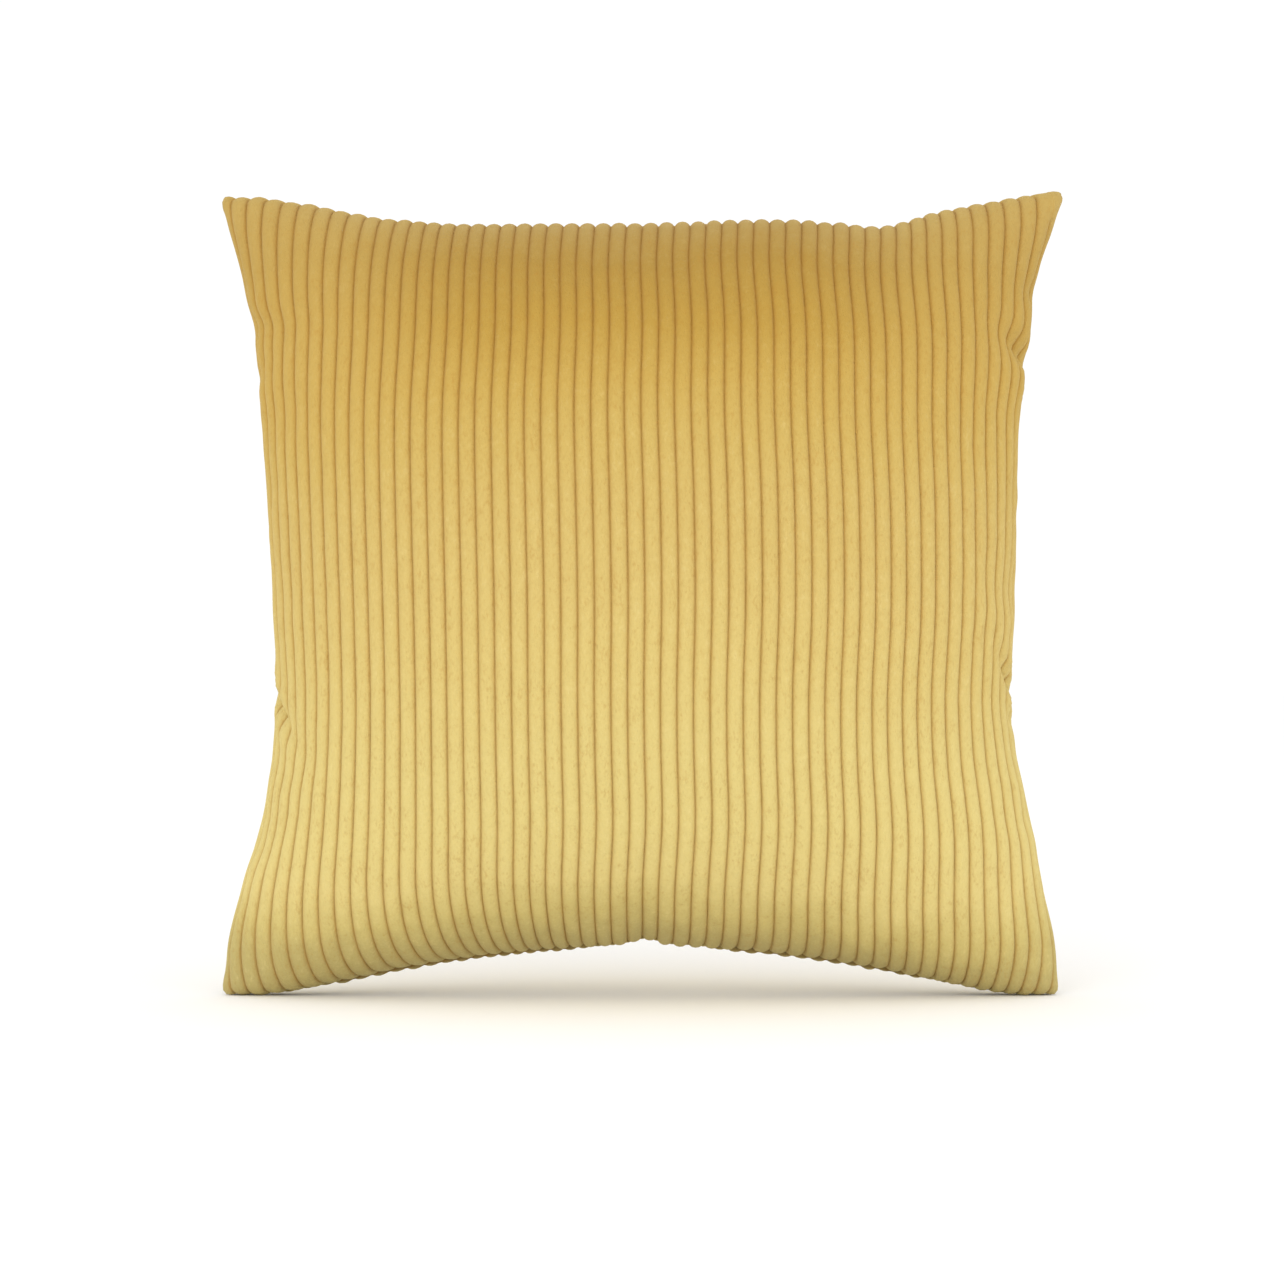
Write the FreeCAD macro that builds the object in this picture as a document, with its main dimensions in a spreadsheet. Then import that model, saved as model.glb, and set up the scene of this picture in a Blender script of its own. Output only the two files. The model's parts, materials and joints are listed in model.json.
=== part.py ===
import FreeCAD, Part
import math
import os
import Sketcher

# A square corduroy throw pillow that stands on its two lower corners: a zipped cover around a filled pad.
# Millimetres. X is the width, Y the thickness with the front panel on -Y, and Z points up from the floor.
# The origin is on the floor, under the middle of the pillow.

# Driving dimensions: alias, value, meaning.
SIZES = [
    ("cover_width", 432, "between the corners of the filled cover"),
    ("cover_height", 413, "floor to the upper corners"),
    ("cover_depth", 172, "thickness at the crown"),
    ("side_pull_in", 26, "how far the side seams bow inwards"),
    ("top_pull_in", 17, "how far the top seam dips"),
    ("bottom_pull_in", 27, "rise of the bottom seam above the floor"),
    ("foot_press", 8, "how much of each lower corner is pressed flat"),
    ("edge_half_depth", 4, "half the blunt edge where the panels meet"),
    ("crown_squareness", 0.985, "1 is a vertical wall at the seam"),
    ("corduroy_thickness", 3.2, "backing cloth with its pile"),
    ("seam_allowance", 10, "turned-in cloth behind the seam"),
    ("allowance_thickness", 1.5, "one layer of pressed allowance"),
    ("cavity_half_depth", 2.5, "half the hollow right behind the seam"),
    ("thread_width", 0.4, "laid width and height of the sewing thread"),
    ("seam_to_thread", 0.8, "from the inside of the wall to the seam thread"),
    ("pad_seam_gap", 1.4, "between the overlocked edge and the pad"),
    ("pad_gap", 0.5, "between the cover and the pad at the crown"),
    ("pad_edge_half_depth", 2, "half the blunt edge of the pad"),
    ("pad_zip_gap", 5.6, "between the slider and the pad"),
    ("ticking_thickness", 0.6, "pad cloth"),
    ("fill_gap", 0.3, "between the pad cloth and the fibre"),
    ("zip_setback", 51, "from a corner to the end of the zip chain"),
    ("lip_gap", 5, "opening between the cloth lips over the zip"),
    ("wall_to_slider", 1.1, "clear height behind the lips"),
    ("channel_gap", 0.3, "clearance around the zip in the cover"),
    ("pull_clearance", 2.15, "the lips part this far past the tip of the pull"),
    ("tape_overrun", 13, "tape past the end of the chain"),
    ("tape_width", 12, "middle of the zip to the edge of a tape"),
    ("tape_thickness", 0.5, "woven tape"),
    ("tape_parting", 1.2, "middle of the zip to the inner edge of a tape"),
    ("coil_pitch", 2, "one turn to the next on one tape"),
    ("coil_wire", 0.65, "thickness of one turn"),
    ("coil_height", 1.8, "turn measured away from the tape"),
    ("coil_reach", 2.7, "middle of the zip to the back of a turn"),
    ("coil_overlap", 0.5, "how far a turn reaches past the middle"),
    ("slider_length", 11, "along the zip"),
    ("slider_width", 8, "across the zip"),
    ("slider_plate", 1.2, "thickness of each slider plate"),
    ("slider_gap", 0.2, "running clearance inside the slider"),
    ("slider_flange", 0.6, "thickness of the side walls"),
    ("post_width", 1.8, "wedge that joins the slider plates"),
    ("post_length", 2.2, "wedge along the zip"),
    ("post_start", 2.4, "from the slider's middle to the wedge"),
    ("strap_width", 2, "bridge over the pull's bar"),
    ("strap_length", 6.4, "bridge along the zip"),
    ("strap_wall", 0.8, "thickness of the bridge"),
    ("strap_rise", 3.6, "bridge above the slider"),
    ("pull_length", 20, "bar to tip"),
    ("pull_width", 4.2, "across the pull"),
    ("pull_thickness", 1.2, "also the diameter of its bar"),
    ("pull_gap", 0.3, "between the pull and the bridge"),
    ("pull_window", 5.4, "window behind the bar"),
    ("pull_hole_radius", 1, "hole near the tip"),
    ("stop_length", 2, "crimped end stops along the zip"),
    ("stop_wall", 0.6, "metal of an end stop around the tape"),
    ("tack_length", 3, "bar tack along the zip"),
    ("tack_half_width", 4.5, "middle of the zip to the end of a bar tack"),
    ("label_height", 30, "folded care label along the seam"),
    ("label_thickness", 0.5, "two layers of satin"),
    ("pad_label_width", 38, "label sewn to the pad"),
    ("pad_label_height", 52, "label sewn to the pad"),
]

# Values worked out from the driving dimensions: alias, formula. The zip follows the bottom seam, an arc
# about an axis along Y below the pillow, so its parts are given as distances from that axis.
WORKED = [
    ("seam_sagitta", "Sizes.bottom_pull_in + Sizes.foot_press"),
    ("seam_radius", "Sizes.cover_width ^ 2 / (8 * seam_sagitta) + seam_sagitta / 2"),
    ("axis_height", "Sizes.bottom_pull_in - seam_radius"),
    ("degrees_along", "180 / pi / seam_radius"),
    ("slider_outer", "seam_radius + Sizes.corduroy_thickness + Sizes.wall_to_slider"),
    ("throat_outer", "slider_outer + Sizes.slider_plate"),
    ("coil_outer", "throat_outer + Sizes.slider_gap"),
    ("tape_outer", "coil_outer + Sizes.coil_height"),
    ("tape_inner", "tape_outer + Sizes.tape_thickness"),
    ("throat_inner", "tape_inner + Sizes.slider_gap"),
    ("slider_inner", "throat_inner + Sizes.slider_plate"),
    ("raw_edge", "Sizes.corduroy_thickness + Sizes.seam_allowance"),
    ("allowance_edge", "seam_radius + raw_edge"),
    ("pad_side_inset", "raw_edge + Sizes.thread_width + Sizes.pad_seam_gap"),
    ("pad_bottom_inset", "max(slider_inner - seam_radius + Sizes.pad_zip_gap; pad_side_inset)"),
    ("pivot_radius", "slider_outer - Sizes.strap_rise + Sizes.strap_wall + Sizes.pull_gap"
                     " + Sizes.pull_thickness / 2"),
    ("chain_length", "Sizes.cover_width - 2 * Sizes.zip_setback"),
    ("coil_turns", "floor(chain_length / Sizes.coil_pitch)"),
    ("coil_sweep", "(coil_turns - 1) * Sizes.coil_pitch * degrees_along"),
    ("slot_overrun", "Sizes.pull_length - Sizes.slider_length / 2 + Sizes.coil_wire - Sizes.channel_gap"
                     " + Sizes.pull_clearance"),
    ("slot_angle", "(chain_length + 2 * slot_overrun) * degrees_along"),
    ("tape_angle", "(chain_length + 2 * Sizes.tape_overrun) * degrees_along"),
    ("channel_angle", "tape_angle + 2 * Sizes.channel_gap * degrees_along"),
    ("closed_offset", "chain_length / 2 - Sizes.post_start + Sizes.coil_wire"),
    ("closed_angle", "closed_offset * degrees_along"),
    ("top_stop_offset", "closed_offset + Sizes.slider_length / 2 + Sizes.channel_gap"),
    ("bottom_stop_offset", "chain_length / 2 + Sizes.coil_wire"),
    ("tack_offset", "chain_length / 2 + Sizes.tape_overrun - Sizes.tack_length"),
]

GRID = 25  # points along each side of the net that carries a bulged surface

doc = FreeCAD.newDocument("throw_pillow")


def make_sheet(name, rows, prefix):
    """One spreadsheet with a named cell in column B for each row."""
    sheet = doc.addObject("Spreadsheet::Sheet", name)
    for number, row in enumerate(rows, start=1):
        sheet.set(f"A{number}", row[0])
        sheet.set(f"B{number}", prefix + str(row[1]))
        sheet.setAlias(f"B{number}", row[0])
        sheet.set(f"C{number}", row[2] if len(row) > 2 else "worked out")
    return sheet


sizes = make_sheet("Sizes", SIZES, "")
worked = make_sheet("Worked", WORKED, "=")
doc.recompute()


# ---------------------------------------------------------------- bulged cloth forms

def crown(t):
    """Share of the full depth at t, which runs from -1 at one seam to 1 at the other."""
    square = sizes.crown_squareness
    floor = math.sqrt(1 - square ** 2)
    return (math.sqrt(1 - (square * t) ** 2) - floor) / (1 - floor)


def net_steps():
    """Steps from -1 to 1 that crowd towards the seams, where the cloth bends most."""
    return [math.sin(math.pi / 2 * (2 * i / (GRID - 1) - 1) * 0.86) / math.sin(math.pi / 2 * 0.86)
            for i in range(GRID)]


def seam_point(u, v, inset, bottom_inset, y):
    """Point of the seam plane: u runs left to right and v runs bottom to top, both from -1 to 1."""
    half_width = sizes.cover_width / 2 - inset
    x = u * (half_width - sizes.side_pull_in * (1 - v ** 2))
    low = worked.axis_height + math.sqrt((worked.seam_radius + bottom_inset) ** 2 - (u * half_width) ** 2)
    high = sizes.cover_height - inset - sizes.top_pull_in * (1 - u ** 2)
    return FreeCAD.Vector(x, y, low + (high - low) * (1 + v) / 2)


def bulged_face(inset, bottom_inset, half_depth, edge):
    """Front face of a pillow form: pulled-in edges, pointed corners and a full crown."""
    net = []
    for u in net_steps():
        row = []
        for v in net_steps():
            depth = edge + (half_depth - edge) * crown(u) * crown(v)
            row.append(seam_point(u, v, inset, bottom_inset, -depth))
        net.append(row)
    surface = Part.BSplineSurface()
    surface.interpolate(net)
    return surface.toShape()


def front_half(y_back, floor):
    """Block that holds what lies in front of y_back and above floor."""
    reach = 2 * (sizes.cover_width + sizes.cover_height + sizes.cover_depth)
    return Part.makeBox(reach, reach, reach, FreeCAD.Vector(-reach / 2, y_back - reach, floor))


def half_form(name, inset, bottom_inset, half_depth, edge, floor):
    """Solid front half of a pillow form, flat on its seam plane and cut level at floor."""
    face = bulged_face(inset, bottom_inset, half_depth, edge)
    swept = face.extrude(FreeCAD.Vector(0, 2 * half_depth, 0))
    feature = doc.addObject("Part::Feature", name)
    feature.Shape = swept.common(front_half(0, floor))
    return feature


def seam_outline(inset, bottom_inset, y):
    """Flat face inside a seam line."""
    steps = net_steps()
    sides = [
        [seam_point(t, -1, inset, bottom_inset, y) for t in steps],
        [seam_point(1, t, inset, bottom_inset, y) for t in steps],
        [seam_point(-t, 1, inset, bottom_inset, y) for t in steps],
        [seam_point(-1, -t, inset, bottom_inset, y) for t in steps],
    ]
    edges = []
    for side in sides:
        curve = Part.BSplineCurve()
        curve.interpolate(side)
        edges.append(curve.toShape())
    return Part.Face(Part.Wire(edges))


def seam_band(name, outer, inner, y_front, y_back, floor=0.0):
    """Flat band along the whole seam between two insets, each given as (sides and top, bottom)."""
    ring = seam_outline(*outer, y_front).cut(seam_outline(*inner, y_front))
    band = ring.extrude(FreeCAD.Vector(0, y_back - y_front, 0))
    feature = doc.addObject("Part::Feature", name)
    feature.Shape = band.common(front_half(y_back, floor))
    return feature


# ---------------------------------------------------------------- small parametric helpers

def origin_part(body, role):
    """An axis or plane of a body's own origin."""
    return next(item for item in body.Origin.OriginFeatures if item.Role == role)


def new_body(name, angle_formula="0"):
    """Body whose local origin is the axis of the bottom seam, turned along the seam by an angle."""
    body = doc.addObject("PartDesign::Body", name)
    body.Label = name
    body.Placement.Rotation = FreeCAD.Rotation(FreeCAD.Vector(0, 1, 0), 1)
    body.setExpression("Placement.Base.z", "Worked.axis_height")
    body.setExpression("Placement.Rotation.Angle", angle_formula)
    return body


def new_sketch(body, name, plane, offset_formula=None):
    """Sketch on one of a body's origin planes, raised off it by a formula."""
    sketch = body.newObject("Sketcher::SketchObject", name)
    sketch.AttachmentSupport = [(origin_part(body, plane), "")]
    sketch.MapMode = "FlatFace"
    if offset_formula:
        sketch.setExpression("AttachmentOffset.Base.z", offset_formula)
    return sketch


def bind(sketch, kind, geometry, point, formula):
    """Hold one coordinate of a sketch point to a formula."""
    number = sketch.addConstraint(Sketcher.Constraint(kind, -1, 1, geometry, point, 1.0))
    sketch.setExpression(f"Constraints[{number}]", formula)


def rectangle(sketch, left, right, low, high):
    """Rectangle held on all four sides by formulas."""
    first = sketch.GeometryCount
    corners = [FreeCAD.Vector(*at, 0) for at in ((-1, 0), (1, 0), (1, 9), (-1, 9))]
    for i in range(4):
        sketch.addGeometry(Part.LineSegment(corners[i], corners[(i + 1) % 4]), False)
    for i in range(4):
        sketch.addConstraint(Sketcher.Constraint("Coincident", first + i, 2, first + (i + 1) % 4, 1))
    for i in (0, 2):
        sketch.addConstraint(Sketcher.Constraint("Horizontal", first + i))
        sketch.addConstraint(Sketcher.Constraint("Vertical", first + i + 1))
    bind(sketch, "DistanceX", first, 1, left)
    bind(sketch, "DistanceY", first, 1, low)
    bind(sketch, "DistanceX", first + 2, 1, right)
    bind(sketch, "DistanceY", first + 2, 1, high)


def circle(sketch, x, y, radius):
    """Circle with its middle and radius held by formulas."""
    number = sketch.addGeometry(Part.Circle(FreeCAD.Vector(1, 1, 0), FreeCAD.Vector(0, 0, 1), 1.0), False)
    bind(sketch, "DistanceX", number, 3, x)
    bind(sketch, "DistanceY", number, 3, y)
    held = sketch.addConstraint(Sketcher.Constraint("Radius", number, 1.0))
    sketch.setExpression(f"Constraints[{held}]", radius)


def arc_bar(body, name, across, radial, angle_formula, midplane=True):
    """Bar of rectangular section that follows the bottom seam."""
    sketch = new_sketch(body, name + "_section", "YZ_Plane")
    rectangle(sketch, across[0], across[1], radial[0], radial[1])
    bar = body.newObject("PartDesign::Revolution", name)
    bar.Profile = sketch
    bar.ReferenceAxis = (origin_part(body, "Y_Axis"), [""])
    bar.Midplane = midplane
    bar.setExpression("Angle", angle_formula)
    body.Tip = bar
    return bar


def upright_block(body, name, along, across, bottom, height):
    """Block on a plane at a distance from the seam axis."""
    sketch = new_sketch(body, name + "_outline", "XY_Plane", bottom)
    rectangle(sketch, along[0], along[1], across[0], across[1])
    block = body.newObject("PartDesign::Pad", name)
    block.Profile = sketch
    block.setExpression("Length", height)
    body.Tip = block
    return block


def side_block(body, name, along, radial, width):
    """Block drawn in side view and centred across the zip."""
    sketch = new_sketch(body, name + "_side", "XZ_Plane")
    rectangle(sketch, along[0], along[1], radial[0], radial[1])
    block = body.newObject("PartDesign::Pad", name)
    block.Profile = sketch
    block.Midplane = True
    block.setExpression("Length", width)
    body.Tip = block
    return block


def pocket(body, name, sketch, length):
    """Pocket that must take material away."""
    doc.recompute()
    before = body.Shape.Volume
    cut = body.newObject("PartDesign::Pocket", name)
    cut.Profile = sketch
    cut.Midplane = True
    cut.setExpression("Length", length)
    body.Tip = cut
    doc.recompute()
    if body.Shape.Volume > before - 1e-3:
        raise RuntimeError(f"{name} cuts nothing")
    return cut


def round_edges(body, name, base, radius, direction):
    """Fillet on the edges of a feature that run along a direction."""
    doc.recompute()
    picked = []
    for number, edge in enumerate(base.Shape.Edges, start=1):
        run = edge.Vertexes[-1].Point - edge.Vertexes[0].Point
        if edge.Curve.TypeId == "Part::GeomLine" and run.getAngle(direction) % math.pi < 1e-4:
            picked.append(f"Edge{number}")
    fillet = body.newObject("PartDesign::Fillet", name)
    fillet.Base = (base, picked)
    fillet.setExpression("Radius", radius)
    body.Tip = fillet
    doc.recompute()
    return fillet


def combine(kind, name, base, tool):
    """Boolean of two objects, as a Part::Cut or Part::Fuse feature or the like."""
    feature = doc.addObject(kind, name)
    feature.Base = base
    feature.Tool = tool
    return feature


def mirrored(name, source):
    """Copy of an object on the other side of the seam plane."""
    feature = doc.addObject("Part::Mirroring", name)
    feature.Source = source
    feature.Base = FreeCAD.Vector(0, 0, 0)
    feature.Normal = FreeCAD.Vector(0, 1, 0)
    feature.Label = name
    return feature


def grouped(name, members):
    """Separate solids that make one sub-part."""
    feature = doc.addObject("Part::Compound", name)
    feature.Links = members
    feature.Label = name
    return feature


# ---------------------------------------------------------------- room for the zip in the bottom seam

def make_zip_channel():
    """Hollow that the zip needs: the slit between the lips, the slider's way and the room for the tapes."""
    body = new_body("zip_channel")
    slit = "Sizes.lip_gap / 2"
    way = "(Sizes.slider_width / 2 + Sizes.channel_gap)"
    room = "(Sizes.tape_width + Sizes.channel_gap)"
    arc_bar(body, "slit", ("-" + slit, slit), ("Worked.seam_radius - 2", "Worked.allowance_edge + 1"),
            "Worked.slot_angle")
    arc_bar(body, "slider_way", ("-" + way, way),
            ("Worked.slider_outer - Sizes.channel_gap", "Worked.allowance_edge"), "Worked.slot_angle")
    arc_bar(body, "tape_room", ("-" + room, room),
            ("Worked.tape_outer - Sizes.channel_gap", "Worked.slider_inner + Sizes.channel_gap"),
            "Worked.channel_angle")
    return body


zip_channel = make_zip_channel()


# ---------------------------------------------------------------- cover

def make_cover():
    """Front and back corduroy panels with their turned-in allowances, open along the zip."""
    wall = sizes.corduroy_thickness
    outer = half_form("cover_outside", 0, 0, sizes.cover_depth / 2, sizes.edge_half_depth, 0)
    inner = half_form("cover_inside", wall, wall, sizes.cover_depth / 2 - wall, sizes.cavity_half_depth, wall)
    shell = combine("Part::Cut", "cover_shell", outer, inner)
    start = (wall / 2, wall / 2)
    stop = (worked.raw_edge, worked.raw_edge)
    allowance = seam_band("allowance", start, stop, -sizes.allowance_thickness, 0, wall / 2)
    sewn = combine("Part::Fuse", "cover_with_allowance", shell, allowance)
    front = combine("Part::Cut", "front_panel", sewn, zip_channel)
    front.Label = "front_panel"
    return [front, mirrored("back_panel", front)]


def make_cover_threads():
    """Seam thread on both sides of the allowances, and the overlocking along their raw edge."""
    wall = sizes.corduroy_thickness
    start = wall + sizes.seam_to_thread
    stop = start + sizes.thread_width
    front_face = -sizes.allowance_thickness
    line = seam_band("seam_thread_line", (start, start), (stop, stop), front_face - sizes.thread_width,
                     front_face, wall)
    front_line = combine("Part::Cut", "seam_thread_front", line, zip_channel)
    seam_thread = grouped("cover_seam_thread", [front_line, mirrored("seam_thread_back", front_line)])
    raw = worked.raw_edge
    bound = raw + sizes.thread_width
    edge = seam_band("overlock_line", (raw, raw), (bound, bound), front_face, sizes.allowance_thickness, wall)
    overlock = combine("Part::Cut", "cover_overlock", edge, zip_channel)
    overlock.Label = "cover_overlock"
    return [seam_thread, overlock]


def make_care_label():
    """Small folded label, sewn in the left seam and lying on the allowance inside the cover."""
    clear = sizes.corduroy_thickness + sizes.seam_to_thread + 2 * sizes.thread_width
    room = worked.pad_side_inset - 2 * sizes.thread_width - clear
    middle = (sizes.cover_height + sizes.bottom_pull_in) / 2
    seam_x = -(sizes.cover_width / 2 - sizes.side_pull_in)
    label = doc.addObject("Part::Box", "care_label")
    label.Label = "care_label"
    label.Length = room
    label.setExpression("Width", "Sizes.label_thickness")
    label.setExpression("Height", "Sizes.label_height")
    y_front = -sizes.allowance_thickness - sizes.label_thickness
    label.Placement.Base = FreeCAD.Vector(seam_x + clear, y_front, middle - sizes.label_height / 2)
    return [label]


# ---------------------------------------------------------------- zip

def make_tapes():
    """The two woven tapes."""
    front = new_body("zip_tape_front")
    arc_bar(front, "tape", ("-Sizes.tape_width", "-Sizes.tape_parting"),
            ("Worked.tape_outer", "Worked.tape_inner"), "Worked.tape_angle")
    return [front, mirrored("zip_tape_back", front)]


def make_coil(name, side, shift_formula):
    """Row of coil turns on a core cord. side is -1 in front and 1 behind."""
    body = new_body(name, f"-Worked.coil_sweep / 2 + {shift_formula}")
    near = f"{-side} * Sizes.coil_overlap"
    far = f"{side} * Sizes.coil_reach"
    core_near = f"{side} * (Sizes.coil_reach - 0.6)"
    core_far = f"{side} * (Sizes.coil_reach - 1.3)"
    arc_bar(body, name + "_core", sorted_pair(side, core_far, core_near),
            ("Worked.coil_outer + 0.6", "Worked.coil_outer + 1.2"), "Worked.coil_sweep", midplane=False)
    sketch = new_sketch(body, name + "_turn_outline", "YZ_Plane")
    limits = sorted_pair(side, near, far)
    rectangle(sketch, limits[0], limits[1], "Worked.coil_outer", "Worked.tape_outer")
    turn = body.newObject("PartDesign::Pad", name + "_turn")
    turn.Profile = sketch
    turn.Midplane = True
    turn.setExpression("Length", "Sizes.coil_wire")
    doc.recompute()
    turns = body.newObject("PartDesign::PolarPattern", name + "_turns")
    turns.Originals = [turn]
    turns.Axis = (origin_part(body, "Y_Axis"), [""])
    turns.setExpression("Angle", "Worked.coil_sweep")
    turns.setExpression("Occurrences", "Worked.coil_turns")
    body.Tip = turns
    return body


def sorted_pair(side, near, far):
    """Two limits across the zip in rising order."""
    return (near, far) if side > 0 else (far, near)


def make_stops():
    """Two crimped stops past the closed end, and one across both tapes at the open end."""
    top = []
    for name, side in (("top_stop_front", -1), ("top_stop_back", 1)):
        body = new_body(name, "Worked.top_stop_offset * Worked.degrees_along")
        near = f"{side} * (Sizes.tape_parting - Sizes.stop_wall)"
        far = f"{side} * Sizes.coil_reach"
        upright_block(body, name + "_block", ("0", "Sizes.stop_length"), sorted_pair(side, near, far),
                      "Worked.tape_outer - Sizes.stop_wall", "Sizes.tape_thickness + 2 * Sizes.stop_wall")
        slot = new_sketch(body, name + "_slot", "YZ_Plane")
        tape = sorted_pair(side, f"{side} * Sizes.tape_parting", f"{side} * (Sizes.coil_reach + 1)")
        rectangle(slot, tape[0], tape[1], "Worked.tape_outer - 0.01", "Worked.tape_inner + 0.01")
        pocket(body, name + "_tape_slot", slot, "4 * Sizes.stop_length")
        top.append(body)
    bottom = new_body("zip_bottom_stop", "-Worked.bottom_stop_offset * Worked.degrees_along")
    reach = "Sizes.coil_reach"
    upright_block(bottom, "bottom_block", ("-Sizes.stop_length", "0"), ("-" + reach, reach),
                  "Worked.coil_outer", "Worked.tape_inner + Sizes.stop_wall - Worked.coil_outer")
    for name, side in (("front", -1), ("back", 1)):
        slot = new_sketch(bottom, f"bottom_{name}_slot", "YZ_Plane")
        tape = sorted_pair(side, f"{side} * (Sizes.tape_parting - 0.01)", f"{side} * (Sizes.coil_reach + 1)")
        rectangle(slot, tape[0], tape[1], "Worked.tape_outer - 0.01", "Worked.tape_inner + 0.01")
        pocket(bottom, f"bottom_{name}_tape_slot", slot, "4 * Sizes.stop_length")
    return [grouped("zip_top_stops", top), bottom]


def make_slider():
    """Two plates joined by a wedge, with side walls around the coils and a bridge for the pull."""
    body = new_body("zip_slider", "Worked.closed_angle")
    length = ("-Sizes.slider_length / 2", "Sizes.slider_length / 2")
    width = ("-Sizes.slider_width / 2", "Sizes.slider_width / 2")
    plate = upright_block(body, "outer_plate", length, width, "Worked.slider_outer", "Sizes.slider_plate")
    round_edges(body, "outer_plate_corners", plate, "Sizes.slider_plate", FreeCAD.Vector(0, 0, 1))
    upright_block(body, "wedge", ("Sizes.post_start", "Sizes.post_start + Sizes.post_length"),
                  ("-Sizes.post_width / 2", "Sizes.post_width / 2"), "Worked.slider_outer",
                  "Worked.slider_inner - Worked.slider_outer")
    narrow = "(Sizes.slider_width / 2 - Sizes.slider_gap)"
    upright_block(body, "inner_plate", length, ("-" + narrow, narrow),
                  "Worked.throat_inner", "Sizes.slider_plate")
    for name, side in (("front_wall", -1), ("back_wall", 1)):
        outer = f"{side} * Sizes.slider_width / 2"
        inner = f"{side} * (Sizes.slider_width / 2 - Sizes.slider_flange)"
        upright_block(body, name, ("-Sizes.slider_length / 2 + Sizes.slider_plate",
                                   "Sizes.slider_length / 2 - Sizes.slider_plate"),
                      sorted_pair(side, inner, outer), "Worked.slider_outer",
                      "Worked.tape_outer - Sizes.slider_gap - Worked.slider_outer")
    side_block(body, "bridge", ("-Sizes.strap_length / 2", "Sizes.strap_length / 2"),
               ("Worked.slider_outer - Sizes.strap_rise", "Worked.slider_outer + Sizes.slider_plate / 2"),
               "Sizes.strap_width")
    eye = new_sketch(body, "bridge_eye_side", "XZ_Plane")
    rectangle(eye, "-Sizes.strap_length / 2 + Sizes.strap_wall", "Sizes.strap_length / 2 - Sizes.strap_wall",
              "Worked.slider_outer - Sizes.strap_rise + Sizes.strap_wall", "Worked.slider_outer")
    pocket(body, "bridge_eye", eye, "2 * Sizes.strap_width")
    return body


def make_pull():
    """Flat tab with a window that straddles the bridge, swinging on a round bar."""
    body = new_body("zip_pull", "Worked.closed_angle")
    half = "Sizes.pull_width / 2"
    window = "(Sizes.strap_width / 2 + Sizes.pull_gap)"
    upright_block(body, "tab", ("-Sizes.pull_length", "0"), ("-" + half, half),
                  "Worked.pivot_radius - Sizes.pull_thickness / 2", "Sizes.pull_thickness")
    frame = new_sketch(body, "window_outline", "XY_Plane", "Worked.pivot_radius")
    rectangle(frame, "-Sizes.pull_window", "1", "-" + window, window)
    pocket(body, "window", frame, "2 * Sizes.pull_thickness")
    hole = new_sketch(body, "tip_hole_outline", "XY_Plane", "Worked.pivot_radius")
    circle(hole, "-Sizes.pull_length + 3 * Sizes.pull_hole_radius", "0", "Sizes.pull_hole_radius")
    pocket(body, "tip_hole", hole, "2 * Sizes.pull_thickness")
    bar_side = new_sketch(body, "bar_side", "XZ_Plane")
    circle(bar_side, "0", "Worked.pivot_radius", "Sizes.pull_thickness / 2")
    bar = body.newObject("PartDesign::Pad", "bar")
    bar.Profile = bar_side
    bar.Midplane = True
    bar.setExpression("Length", "Sizes.pull_width")
    body.Tip = bar
    return body


def make_zip_threads():
    """A row of stitches along each tape, and a bar tack across both tapes at each end."""
    front = new_body("zip_stitching_front")
    arc_bar(front, "stitch_row", ("-Sizes.tape_width + 2", "-Sizes.tape_width + 2 + Sizes.thread_width"),
            ("Worked.tape_inner", "Worked.tape_inner + Sizes.thread_width"), "Worked.tape_angle")
    tacks = []
    for name, side in (("open_end", -1), ("closed_end", 1)):
        middle = f"{side} * (Worked.tack_offset + Sizes.tack_length / 2) * Worked.degrees_along"
        body = new_body(f"bar_tack_{name}", middle)
        arc_bar(body, f"tack_{name}", ("-Sizes.tack_half_width", "Sizes.tack_half_width"),
                ("Worked.tape_inner", "Worked.tape_inner + 2 * Sizes.thread_width"),
                "Sizes.tack_length * Worked.degrees_along")
        tacks.append(body)
    return [front, mirrored("zip_stitching_back", front), grouped("zip_bar_tacks", tacks)]


# ---------------------------------------------------------------- pad

def pad_form(name, shrink):
    """Front half of the pad's form, shrunk all round."""
    crown_depth = sizes.cover_depth / 2 - sizes.corduroy_thickness - sizes.pad_gap - shrink
    edge = sizes.pad_edge_half_depth - shrink
    low = worked.pad_bottom_inset + shrink
    return half_form(name, worked.pad_side_inset + shrink, low, crown_depth, edge, sizes.corduroy_thickness)


def make_pad():
    """Ticking panels, the thread that closes them, the fibre inside and the pad's own label."""
    outside = pad_form("pad_outside", 0)
    inside = pad_form("pad_inside", sizes.ticking_thickness)
    front = combine("Part::Cut", "pad_front_panel", outside, inside)
    front.Label = "pad_front_panel"
    core = pad_form("fill_front_half", sizes.ticking_thickness + sizes.fill_gap)
    fibre = combine("Part::Fuse", "fibre_fill", core, mirrored("fill_back_half", core))
    fibre.Label = "fibre_fill"
    width = sizes.thread_width
    seam = (worked.pad_side_inset, worked.pad_bottom_inset)
    thread = seam_band("pad_seam_thread", (seam[0] - width, seam[1] - width), seam, -1.5 * width, 1.5 * width)
    thread.Label = "pad_seam_thread"
    return [front, mirrored("pad_back_panel", front), thread, fibre, make_pad_label(outside)]


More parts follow.
